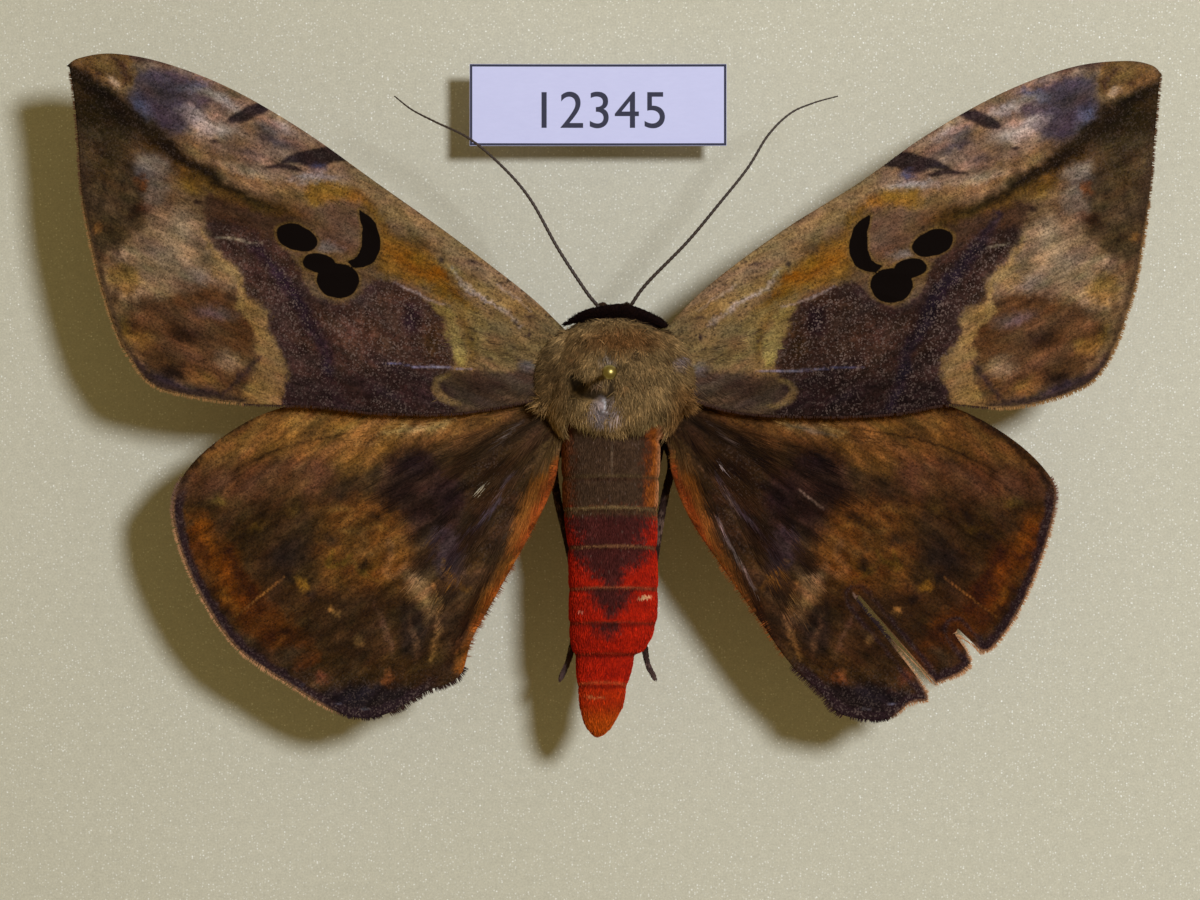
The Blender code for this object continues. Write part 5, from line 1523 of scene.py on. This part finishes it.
def dress_front(body, material):
    """Short velvety scales on the collar, the head and the palps."""
    coat = Coat(221)
    roots, normals = sampled(body.data, coat.draw, 26000, lambda p: (p[:, 1] > 6.4) * 1.0)
    x, y, z = roots.T
    low = z < WING_PLANE - 0.3
    near = (collar_reach(roots, COLLAR) < 0.56) & (z > WING_PLANE - 0.3)
    chosen = near | (low & (np.abs(x - MIDLINE) < 2.8) & (y > 6.8))
    roots, normals = roots[chosen][:14000], normals[chosen][:14000]
    ways = columns(0.3 * (roots[:, 0] - MIDLINE), 0.6, 0.5)
    ways += 0.3 * coat.draw.standard_normal(ways.shape)
    lengths = coat.varied(len(roots), 0.24, 0.06, 0.12, 0.4)
    tints = fur_tints(roots, coat.draw, 0.22)
    coat.add(roots, normals, ways, lengths, 0.06, 0.4, tints, around_body(roots))
    coat.build("head_scales", material)


def dress_abdomen(body, material):
    """Flat scales over the abdomen, longer at each ring's end."""
    coat = Coat(231)
    roots, normals = sampled(body.data, coat.draw, 19500, lambda p: (p[:, 1] < 1.1) * 1.0)
    x, y, _ = roots.T
    ways = columns(0.06 * (x - MIDLINE), -1.0, 0.0)
    ways += 0.14 * coat.draw.standard_normal(ways.shape)
    ends = np.max([ease(0.55, 0.15, y - seam) * (y > seam) for seam in SEAMS[1:]], axis=0)
    middle = 0.26 - 0.12 * ends + 0.08 * ease(-17.5, -19.0, y)
    lengths = coat.varied(len(roots), middle, 0.05, 0.12, 0.5)
    tints = fur_tints(roots + np.array([0, -0.08, 0]), coat.draw, 0.2)
    coat.add(roots, normals, ways, lengths, 0.09, 0.2, tints, around_body(roots))
    coat.build("abdomen_scales", material)


# Hair on the wings

def wing_patches(flat):
    """Places on the wing's own unwrap, on its upper side."""
    return columns(np.clip(flat[:, 0] / UNWRAP_REACH, 0, 1), (flat[:, 1] + 20) / UNWRAP_DEPTH + 0.5)


def surface_at(flat, height):
    """The wing's upper surface and its normals at these places."""
    step = 0.2
    here = height(flat)
    slope_x = (height(flat + [step, 0]) - here) / step
    slope_y = (height(flat + [0, step]) - here) / step
    return WING_PLANE + here + MEMBRANE / 2, unit(columns(-slope_x, -slope_y, 1.0))


def wing_coat(coat, wing, side, flat, ways, lengths, lift, spread):
    """Adds tufts that grow from a wing's upper side."""
    way = SIDES[side]
    tops, normals = surface_at(flat, wing.height)
    colours = wing.paint(flat, np.full(len(flat), 5.0), side)[0]
    own = coat.varied(len(flat), 1, spread, 0.5, 1.7)
    roots = columns(MIDLINE + way * flat[:, 0], flat[:, 1], tops - 0.02)
    turned = columns(way * ways[:, 0], ways[:, 1], 0.0)
    flipped = normals * np.array([way, 1, 1])
    coat.add(roots, flipped, turned, lengths, 0.05, lift, colours * own[:, None], wing_patches(flat))


def random_inside(draw, outline, count, weight):
    """Random places inside an outline, thinned by a weight from 0 to 1."""
    low, high = outline.min(axis=0), outline.max(axis=0)
    places = low + (high - low) * draw.random((count * 6, 2))
    places = places[inside(places, outline)]
    places = places[draw.random(len(places)) < weight(places)]
    return places[:count]


def from_root(coat, flat, root, mess):
    """Ways that lead outwards from the wing's root, a little at random."""
    return unit(flat - root) + mess * coat.draw.standard_normal(flat.shape)


def dress_hindwing(side, material):
    """Long hair over the hindwing's inner half and along its inner margin."""
    coat = Coat(301 + (side == "right"))
    outline = pulled_in(wing_outline(HIND.arcs[side], OUTLINE_STEP), 0.5)
    root = np.array([3.6, 3.2])

    def weight(places):
        reach, turn = root_angle(places, root)
        inner = ease(-0.35, -0.95, turn)
        near = ease(17.0, 6.0, reach) * (0.35 + 0.65 * inner)
        return np.clip(near + 0.5 * inner * ease(19, 14, reach), 0, 1)

    flat = random_inside(coat.draw, outline, 6500, weight)
    ways = from_root(coat, flat, root, 0.09)
    reach = np.linalg.norm(flat - root, axis=1)
    lengths = coat.varied(len(flat), 1.3 - 0.04 * reach, 0.3, 0.4, 1.9)
    wing_coat(coat, HIND, side, flat, ways, lengths, 0.06, 0.24)
    coat.build(f"hindwing_hair_{side}", material)


def dress_forewing(side, material):
    """Hair near the forewing's root, lying outwards."""
    coat = Coat(311 + (side == "right"))
    outline = pulled_in(wing_outline(FORE.arcs[side], OUTLINE_STEP), 0.4)
    root = np.array([2.6, 6.2])
    weight = lambda places: ease(12.0, 5.0, np.linalg.norm(places - root, axis=1))
    flat = random_inside(coat.draw, outline, 2600, weight)
    ways = from_root(coat, flat, root, 0.12)
    lengths = coat.varied(len(flat), 0.5, 0.15, 0.2, 0.9)
    wing_coat(coat, FORE, side, flat, ways, lengths, 0.1, 0.2)
    coat.build(f"forewing_hair_{side}", material)


def edge_tufts(coat, line, wing, side, long, colour_of, inset, per_mm, spread):
    """A fringe of hair scales along a stretch of a wing's edge, pointing outwards."""
    way = SIDES[side]
    steps = np.linalg.norm(np.diff(line, axis=0), axis=1)
    along = np.concatenate([[0.0], np.cumsum(steps)])
    count = int(along[-1] * per_mm)
    wanted = np.sort(coat.draw.random(count)) * along[-1]
    flat = columns(*(np.interp(wanted, along, axis) for axis in line.T))
    ahead = unit(columns(*(np.interp(wanted, along, np.gradient(axis, along)) for axis in line.T)))
    outwards = columns(-ahead[:, 1], ahead[:, 0])
    flat = flat - outwards * inset
    lean = 0.3 * noise(flat, 0.9, 341)
    ways = outwards + lean[:, None] * ahead + 0.05 * coat.draw.standard_normal(flat.shape)
    own = coat.varied(count, 1, spread, 0.5, 1.6)
    tops = WING_PLANE + wing.height(flat) + 0.1 * (coat.draw.random(count) - 0.5)
    roots = columns(MIDLINE + way * flat[:, 0], flat[:, 1], tops)
    normals = np.tile([0.0, 0.0, 1.0], (count, 1))
    turned = columns(way * ways[:, 0], ways[:, 1], 0.0)
    clumps = 0.12 * noise(flat, 0.3, 343) + 0.07 * coat.draw.standard_normal(count)
    lengths = np.clip(long * (1 + clumps), 0.15, 3)
    tints = colour_of(flat) * own[:, None]
    coat.add(roots, normals, turned, lengths, 0.055, 0.02, tints, wing_patches(flat))


def stretch(outline, test):
    """The run of an outline's points that pass a test, in order and going clockwise."""
    chosen = test(*outline.T)
    start = next(k for k in range(len(outline)) if chosen[k] and not chosen[k - 1])
    turned = np.roll(outline, -start, axis=0)
    chosen = np.roll(chosen, -start)
    end = next((k for k in range(len(outline)) if not chosen[k]), len(outline))
    return turned[:end]


def termen_tints(flat):
    """The forewing's fringe: brown above and pale orange below."""
    return over(plain(flat, (96, 68, 46)), (156, 116, 72), ease(19.0, 14.0, flat[:, 1]))


def outer_tints(flat):
    """The hindwing's fringe: greyish near the forewing, pale orange along the side, dark below."""
    colours = over(plain(flat, (120, 88, 76)), (186, 138, 98), ease(-3.0, -6.0, flat[:, 1]))
    return over(colours, (50, 36, 38), ease(19.8, 18.4, flat[:, 0]))


def inner_tints(flat):
    """The orange hair of the hindwing's inner margin, duller near the root."""
    colours = over(plain(flat, (122, 66, 28)), (96, 74, 34), ease(-2.0, 0.5, flat[:, 1]))
    return colours * (1 + 0.4 * noise(flat, 0.4, 331))[:, None]


def rear_tints(flat):
    """The forewing's rear fringe."""
    return plain(flat, (66, 45, 38))


def tail_tints(flat):
    """The hindwing's fringe at its rear corner."""
    return plain(flat, (60, 41, 36))


# Each edge's wing, stretch, length of hair, tints, inset, hairs per millimetre and spread of tint
EDGES = [
    (FORE, lambda x, y: (x > 25) & (y < 25.8) & ~((y > 22) & (x < 36.3)), 0.3, termen_tints, 0.3, 30, 0.12),
    (FORE, lambda x, y: (x < 26) & (x > 5) & (y < 4), 0.3, rear_tints, 0.3, 30, 0.12),
    (HIND, lambda x, y: (y < -1.5) & (x > 15.5), 0.36, outer_tints, 0.34, 30, 0.12),
    (HIND, lambda x, y: (y < -14.6) & (x < 15.5), 0.55, tail_tints, 0.4, 36, 0.2),
    (HIND, lambda x, y: (y < 0.5) & (y > -14.8) & (x < 11.5), 0.9, inner_tints, 0.85, 34, 0.24),
]


def dress_edges(side, material):
    """The fringes of all the wing edges on one side."""
    coat = Coat(321 + (side == "right"))
    for wing, part, *fringe in EDGES:
        line = stretch(wing_outline(wing.arcs[side], OUTLINE_STEP), part)
        edge_tufts(coat, line, wing, side, *fringe)
    coat.build(f"fringes_{side}", material)


# Feelers, legs, eyes and tongue

ANTENNAE = {
    "left": [
        (0.3, 9, -0.85), (-0.2, 9.85, -0.3), (-0.96, 10.8, 0), (-2.85, 13.67, 0.5),
        (-4.73, 17, 0.8), (-6.6, 19.2, 0.8), (-8.9, 21.15, 0.6), (-11.2, 22.3, 0.3),
        (-12.8, 23.15, 0), (-14, 24.1, -0.3),
    ],
    "right": [
        (1.7, 9, -0.85), (2.15, 9.9, -0.3), (3.2, 11.35, 0), (5.9, 14.1, 0.5),
        (8, 16.6, 0.8), (10, 19.1, 0.8), (11.4, 21.35, 0.6), (12.9, 22.85, 0.3),
        (14.5, 23.6, 0), (16.2, 24.1, -0.3),
    ],
}
FORE_LEG = [
    (1.2, 6.3, -3.5, 0.4), (1.7, 7.4, -4.7, 0.4), (2.2, 8.5, -5.2, 0.32), (2.3, 6.9, -5.9, 0.26),
    (2.1, 5, -6.2, 0.22), (1.9, 3.4, -6.3, 0.18), (1.7, 2, -6.35, 0.16), (1.6, 1.3, -6.4, 0.08),
]
MIDDLE_LEG = [
    (1.9, 4, -3.4, 0.45), (3, 4.6, -4.9, 0.4), (3.9, 4.9, -5.3, 0.34), (3.6, 2.8, -5.6, 0.28),
    (3.1, -0.2, -5.7, 0.25), (2.7, -2.6, -5.75, 0.18), (2.3, -4.8, -5.8, 0.16), (2.1, -5.6, -5.8, 0.08),
]
HIND_LEGS = {
    "left": [
        (2.2, 2.4, -3.2, 0.45), (3.3, 0.9, -3.3, 0.36), (4.15, -0.9, -3, 0.28),
        (3.95, -3.2, -2.9, 0.24), (3.3, -6, -3, 0.24), (2.7, -9.4, -3.7, 0.22),
        (2.75, -12.3, -3.5, 0.2), (3.15, -14.4, -3, 0.18), (3.75, -15.8, -2.9, 0.15),
    ],
    "right": [
        (2.2, 2.4, -3.2, 0.45), (3.4, 0.9, -3.3, 0.36), (3.95, -0.9, -3, 0.28),
        (3.55, -2.8, -2.9, 0.24), (3.05, -5.5, -3.2, 0.24), (2.5, -9.4, -3.8, 0.22),
        (2.1, -12.3, -3.8, 0.2), (2.2, -14.4, -3.3, 0.18), (2.8, -15.8, -3, 0.15),
    ],
}
ANTENNA_STATIONS = 260
TONGUE_STATIONS = 120
TONGUE_TURNS = 2.1
TONGUE_CENTRE = (0.0, 8.75, -4.65)
LEG_STATIONS = 72
LEG_SCALES = 2300
LEG_PATCHES = {"fore": 0.2, "middle": 0.5, "hind": 0.8}


def make_antennae(material):
    """The two thread-like feelers, ringed like the real ones."""
    for name, route in ANTENNAE.items():
        thick = np.interp(np.linspace(0, 1, len(route)), [0, 0.1, 0.6, 1], [0.17, 0.13, 0.09, 0.045])
        rows = [(x, y, WING_PLANE + up, r) for (x, y, up), r in zip(route, thick)]
        stations = at_stations(rows, ANTENNA_STATIONS)
        stations[:, 3] *= 1 + 0.13 * np.cos(np.arange(ANTENNA_STATIONS) * math.pi / 2)
        feeler = new_piece(f"antenna_{name}_fine", tube(stations, 14), material)
        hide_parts(f"antenna_{name}")


def make_legs(material, scales):
    """Six scaled legs, narrower at the joints of their feet."""
    for name, way in SIDES.items():
        coat = Coat(341 + way)
        for kind, rows in {"fore": FORE_LEG, "middle": MIDDLE_LEG, "hind": HIND_LEGS[name]}.items():
            stations = at_stations([(*on_body(way, *row[:3]), row[3]) for row in rows], LEG_STATIONS)
            share = np.linspace(0, 1, LEG_STATIONS)
            joints = np.abs(np.sin(share * math.pi * 14)) < 0.3
            stations[:, 3] *= 1 - 0.18 * ease(0.62, 0.66, share) * joints
            leg = new_piece(f"leg_{kind}_{name}_fine", tube(stations, 16), material)
            give_colour(leg.data, leg_paint(places_of(leg.data), stations))
            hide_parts(f"leg_{kind}_{name}")
            roots, normals = sampled(leg.data, coat.draw, LEG_SCALES)
            nearest = nearest_station(roots, stations)
            ahead = np.gradient(stations[:, :3], axis=0)[nearest]
            own = coat.varied(LEG_SCALES, 1, 0.2, 0.5, 1.6)
            tints = leg_paint(roots, stations) * own[:, None]
            patches = columns(0.1 + 0.8 * nearest / LEG_STATIONS, LEG_PATCHES[kind])
            coat.add(roots, normals, ahead, 0.26, 0.07, 0.14, tints, patches)
        coat.build(f"leg_scales_{name}", scales)


def nearest_station(places, stations):
    """The number of the station nearest to each place."""
    return np.argmin(np.linalg.norm(places[:, None] - stations[None, :, :3], axis=2), axis=1)


def leg_paint(places, stations):
    """Dark brown legs with paler flecks, and paler feet."""
    share = nearest_station(places, stations) / (len(stations) - 1)
    colours = plain(places, (50, 34, 28))
    colours = over(colours, (128, 100, 84), 0.55 * (noise(places, 0.35, 131) > 0.35))
    return over(colours, (92, 72, 68), 0.6 * ease(0.88, 0.95, share))


def make_eyes(material):
    """The two round compound eyes."""
    for name, way in SIDES.items():
        globe = ball(on_body(way, *EYE_CENTRE), [EYE_RADIUS] * 3)
        eye = new_piece(f"eye_{name}_faceted", globe, material)
        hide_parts(f"eye_{name}")


def make_tongue(material):
    """The tongue, coiled like a watch spring under the face."""
    middle = on_body(1, *TONGUE_CENTRE)
    stations = []
    for k in range(TONGUE_STATIONS):
        share = k / (TONGUE_STATIONS - 1)
        reach = 0.3 + 0.65 * share
        turn = 2 * math.pi * TONGUE_TURNS * (share - 1) + math.pi / 2
        place = (middle[0], middle[1] + reach * math.cos(turn), middle[2] + reach * math.sin(turn))
        stations.append((*place, 0.13 * (0.6 + 0.4 * share)))
    tongue = new_piece("tongue_coil", tube(stations, 12), material)
    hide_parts("tongue")


# The mount

def make_pin(material):
    """The brass insect pin with its ball head."""
    low, high = box_of("insect_pin")
    place = (low + high)[:2] / 2
    ball_radius = (high - low)[0] / 2
    profile = [(0.02, low[2]), (0.2, low[2] + 3.0), (0.2, high[2] - 2 * ball_radius)]
    for k in range(14):
        turn = 0.42 + (math.pi - 0.45) * k / 13
        profile.append((ball_radius * math.sin(turn), high[2] - ball_radius * (1 + math.cos(turn))))
    rings = [((*place, z), (r, 0, 0), (0, r, 0)) for r, z in profile]
    pin = new_piece("insect_pin_turned", loft(rings, 40), material)
    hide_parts("insect_pin")


LABEL_BOW = 0.12
LABEL_THICKNESS = 0.2
PRINT_LIFT = 0.012
BORDER = 0.16
DIGITS = "12345"
DIGIT_SIZE = 3.65


def bowed(bm, centre, size, height):
    """A flat sheet bent a little, lowest along its middle."""
    for vertex in bm.verts:
        bow = (vertex.co.x - centre[0]) / (size[0] / 2)
        vertex.co.z = height + LABEL_BOW * bow * bow


def make_label(paper, ink):
    """The paper label with a thin printed border and plain digits."""
    low, high = box_of("label_card")
    centre, size = (low + high) / 2, high - low
    bm = bmesh.new()
    bmesh.ops.create_grid(bm, x_segments=40, y_segments=14, size=0.5)
    bmesh.ops.scale(bm, verts=bm.verts, vec=(size[0], size[1], 1))
    bmesh.ops.translate(bm, verts=bm.verts, vec=(centre[0], centre[1], 0))
    bowed(bm, centre, size, high[2] - 0.02 - LABEL_BOW)
    bmesh.ops.solidify(bm, geom=bm.faces[:], thickness=LABEL_THICKNESS)
    card = new_piece("label_paper", bm, paper, smooth=False)
    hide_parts("label_card")
    make_print(centre, size, high[2], ink)


def make_print(centre, size, top, ink):
    """The border and the digits, just proud of the paper."""
    bm = bmesh.new()
    half_x, half_y = size[0] / 2 - 0.02, size[1] / 2 - 0.02
    strips = [((0, turn * (half_y - BORDER / 2)), (2 * half_x, BORDER)) for turn in (1, -1)]
    strips += [((turn * (half_x - BORDER / 2), 0), (BORDER, 2 * half_y)) for turn in (1, -1)]
    for (x, y), (wide, tall) in strips:
        made = bmesh.ops.create_grid(bm, x_segments=36, y_segments=14, size=0.5)
        bmesh.ops.scale(bm, verts=made["verts"], vec=(wide, tall, 1))
        bmesh.ops.translate(bm, verts=made["verts"], vec=(centre[0] + x, centre[1] + y, 0))
    curve = bpy.data.curves.new("digits", "FONT")
    curve.body = DIGITS
    curve.align_x = "CENTER"
    curve.align_y = "CENTER"
    curve.size = DIGIT_SIZE
    curve.space_character = 1.06
    text = settled(placed("digits", curve))
    letters = bmesh.new()
    letters.from_mesh(text)
    bmesh.ops.triangulate(letters, faces=letters.faces)
    bmesh.ops.translate(letters, verts=letters.verts, vec=(centre[0] + 0.1, centre[1] - 0.5, 0))
    letters.to_mesh(text)
    letters.free()
    bm.from_mesh(text)
    bpy.data.meshes.remove(text)
    bowed(bm, centre, size, top - 0.02 - LABEL_BOW + PRINT_LIFT)
    bmesh.ops.solidify(bm, geom=bm.faces[:], thickness=PRINT_LIFT)
    new_piece("label_print", bm, ink, smooth=False)


# Materials

def wing_material(name):
    """Powdery scales: the painted colours broken up scale by scale, with pale and dark ones."""
    shader = Shader(name)
    tint = shader.named("tint", "Color")
    frost = shader.named("frost")
    ink = shader.named("ink")
    rib = shader.named("rib")
    place = shader.place()
    own = shader.cells(place, SCALES_PER_METRE)
    near = shader.cells(place, SCALES_PER_METRE, "Distance")
    speck = shader.noise(place, 5200.0, 2.0, 0.6)
    fibres = shader.noise(shader.moved(shader.named("lie", "Vector"), (1.1, 7.5, 1.0)), 1.0, 2.0, 0.6)
    grain = shader.rise(speck, 0.3, 0.7) * 0.42 + shader.rise(fibres, 0.25, 0.75) * 0.4
    colour = shader.scaled(tint, shader.part(own, 0) * 0.5 + grain + 0.3)
    dark = shader.rise(shader.part(own, 2), 0.72, 0.95) * 0.4
    colour = shader.mix(dark, colour, rgba((24, 15, 12)))
    pale = shader.rise(shader.part(own, 1), 0.7, 0.95) * frost
    colour = shader.mix(pale * 0.5, colour, rgba((136, 114, 104)))
    edge = ink + (speck - 0.5) * 0.08
    black = shader.rise(edge, -0.02, 0.05)
    colour = shader.mix(black, colour, rgba((14, 8, 6)))
    ridge = 1.0 - shader.rise(rib, 0.0, 0.16)
    height = near * 0.5 + ridge * 0.8 + shader.noise(place, 900.0) * 0.5
    return shader.finish(
        Base_Color=colour,
        Roughness=0.8 + speck * 0.15,
        Normal=shader.bump(height, 0.5, 0.04),
        Specular_IOR_Level=0.03,
    )


def coat_material(name, rough=0.82):
    """Hair scales in the colour of their roots."""
    shader = Shader(name)
    tint = shader.named("tint", "Color")
    place = shader.place()
    fine = shader.noise(place, 6000.0, 2.0, 0.6)
    return shader.finish(
        Base_Color=shader.scaled(tint, fine * 0.7 + 0.68),
        Roughness=rough + fine * 0.1,
        Normal=shader.bump(fine, 0.3, 0.02),
        Specular_IOR_Level=0.05,
    )


def skin_material(name):
    """The skin under the coat, a little darker than it, rough with fine scales."""
    shader = Shader(name)
    tint = shader.named("tint", "Color")
    place = shader.place()
    cell = shader.cells(place, 9000.0)
    fine = shader.noise(place, 4200.0, 3.0, 0.6)
    return shader.finish(
        Base_Color=shader.scaled(tint, shader.part(cell, 0) * 0.35 + fine * 0.5 + 0.45),
        Roughness=0.8 + fine * 0.15,
        Normal=shader.bump(fine + shader.cells(place, 9000.0, "Distance") * 0.5, 0.6, 0.05),
        Specular_IOR_Level=0.05,
    )


def clouded_material(name, grain, first, second, rough, strength=0.0):
    """Two near colours clouded into each other, as on horn, in printed ink and on the floor."""
    shader = Shader(name)
    cloudy = shader.noise(shader.place(), *grain)
    colour = shader.mix(cloudy, rgba(first), rgba(second))
    surface = {"Base_Color": colour, "Roughness": rough[0] + cloudy * rough[1]}
    if strength:
        surface["Normal"] = shader.bump(cloudy, strength, 0.02)
    return shader.finish(**surface)


def eye_material():
    """Dark brown compound eyes with fine facets."""
    shader = Shader("faceted_eye")
    place = shader.place()
    facets = shader.cells(place, 14000.0, "Distance")
    cloudy = shader.noise(place, 1500.0, 2.0)
    colour = shader.mix(cloudy, rgba((20, 13, 9)), rgba((64, 42, 24)))
    return shader.finish(
        Base_Color=colour,
        Roughness=0.22 + cloudy * 0.12,
        Normal=shader.bump(facets, 0.35, 0.02),
        Coat_Weight=0.3,
    )


def brass_material():
    """Polished brass with fine drawn marks and a little tarnish."""
    shader = Shader("pin_brass")
    place = shader.place()
    drawn = shader.noise(shader.moved(place, (1.0, 1.0, 0.05)), 9000.0, 2.0)
    tarnish = shader.noise(place, 900.0, 3.0, 0.6)
    colour = shader.mix(tarnish, rgba((196, 178, 108)), rgba((128, 108, 50)))
    return shader.finish(
        Base_Color=colour,
        Metallic=1.0,
        Roughness=0.28 + drawn * 0.1 + tarnish * 0.1,
        Normal=shader.bump(drawn, 0.15, 0.01),
    )


def paper_material():
    """Lavender-white office paper with faint fibres."""
    shader = Shader("label_paper")
    place = shader.place()
    fibres = shader.noise(shader.moved(place, (0.3, 1.0, 1.0)), 5200.0, 3.0, 0.65)
    wide = shader.noise(place, 500.0)
    colour = shader.mix(fibres * 0.6 + wide * 0.4, rgba((198, 198, 234)), rgba((212, 212, 246)))
    return shader.finish(
        Base_Color=colour,
        Roughness=0.8 + fibres * 0.1,
        Normal=shader.bump(fibres, 0.25, 0.02),
    )


def foam_material():
    """Pale fine-celled foam with tiny glints, as the photo's board has."""
    shader = Shader("board_foam")
    place = shader.place()
    wide = shader.noise(place, 60.0, 2.0)
    mid = shader.noise(place, 1500.0, 3.0, 0.6)
    grain = shader.noise(place, 7000.0, 2.0, 0.6)
    colour = shader.mix(wide, rgba((197, 191, 168)), rgba((204, 198, 177)))
    colour = shader.scaled(colour, 0.64 + mid * 0.2 + grain * 0.46)
    glints = 0.0
    for size, chance, bright in ((5200.0, 0.4, 0.6), (2600.0, 0.45, 0.9), (1500.0, 0.78, 1.0)):
        lucky = shader.rise(shader.part(shader.cells(place, size), 0), chance, 1.0)
        near = shader.rise(shader.cells(place, size, "Distance"), 0.04 * size / 1300, 0.1 * size / 1300)
        glints = lucky * (1.0 - near) * bright + glints
    colour = shader.mix(glints, colour, rgba((246, 244, 232)))
    return shader.finish(
        Base_Color=colour,
        Roughness=0.8 - glints * 0.3,
        Normal=shader.bump(mid * 0.4 + grain * 0.6, 0.3, 0.04),
    )


# The scene

def make_floor():
    """The pale floor that the board lies on."""
    bm = bmesh.new()
    bmesh.ops.create_grid(bm, x_segments=8, y_segments=8, size=0.6)
    bmesh.ops.translate(bm, verts=bm.verts, vec=(0, 0, -0.0001))
    mesh = bpy.data.meshes.new("floor")
    bm.to_mesh(mesh)
    bm.free()
    grain, rough = (8.0, 2.0), (0.8, 0.1)
    mesh.materials.append(clouded_material("pale_floor", grain, (206, 203, 196), (214, 211, 204), rough))
    placed("floor", mesh)


def make_lights():
    """One soft key light from the upper right, and a warm fill from all round."""
    way = Vector(KEY_WAY).normalized()
    data = bpy.data.lights.new("key", "AREA")
    data.shape = "DISK"
    data.size = KEY_WIDTH
    data.energy = KEY_WATTS
    data.color = KEY_TINT
    key = placed("key", data)
    key.location = Vector((0, 0, WING_PLANE * MM)) + way * KEY_DISTANCE
    key.rotation_mode = "QUATERNION"
    key.rotation_quaternion = way.to_track_quat("Z", "Y")
    world = bpy.data.worlds.new("studio")
    world.use_nodes = True
    sky = world.node_tree.nodes["Background"]
    sky.inputs["Color"].default_value = FILL_TINT
    sky.inputs["Strength"].default_value = FILL_STRENGTH
    bpy.context.scene.world = world
    bpy.context.scene.view_settings.view_transform = "Standard"


def make_camera():
    """The camera straight above, at the photo's framing."""
    data = bpy.data.cameras.new("camera")
    data.sensor_width = SENSOR_WIDTH
    distance = BOARD_TOP + CAMERA_HEIGHT - WING_PLANE
    data.lens = SENSOR_WIDTH * distance / (PHOTO_WIDTH / PIXELS_PER_MM)
    camera = placed("camera", data)
    camera.location = (0.0, 0.0, (BOARD_TOP + CAMERA_HEIGHT) * MM)
    bpy.context.scene.camera = camera


def make_moth():
    """The whole moth."""
    wing_scales = wing_material("wing_scales")
    hair = coat_material("wing_hair")
    fur = coat_material("body_fur")
    for side in SIDES:
        make_wing(FORE, side, wing_scales)
        make_wing(HIND, side, wing_scales)
        dress_forewing(side, hair)
        dress_hindwing(side, hair)
        dress_edges(side, hair)
    body = make_body(skin_material("body_skin"))
    dress_thorax(body, fur)
    dress_rear(body, fur)
    dress_front(body, fur)
    dress_abdomen(body, coat_material("abdomen_scales", 0.78))
    horn = clouded_material("dark_horn", (3800.0, 3.0, 0.6), (18, 11, 8), (66, 43, 26), (0.45, 0.25), 0.4)
    make_antennae(horn)
    make_legs(skin_material("leg_skin"), fur)
    make_eyes(eye_material())
    make_tongue(horn)


def dress_mount():
    """The board, the label's foam block, the pin and the label."""
    foam = foam_material()
    for name in ("pinning_board", "label_block"):
        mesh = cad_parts[name].data
        mesh.materials.clear()
        mesh.materials.append(foam)
    make_pin(brass_material())
    ink = clouded_material("printed_ink", (5000.0, 2.0, 0.6), (24, 24, 48), (40, 40, 70), (0.6, 0.2))
    make_label(paper_material(), ink)


make_floor()
make_lights()
make_camera()
dress_mount()
make_moth()
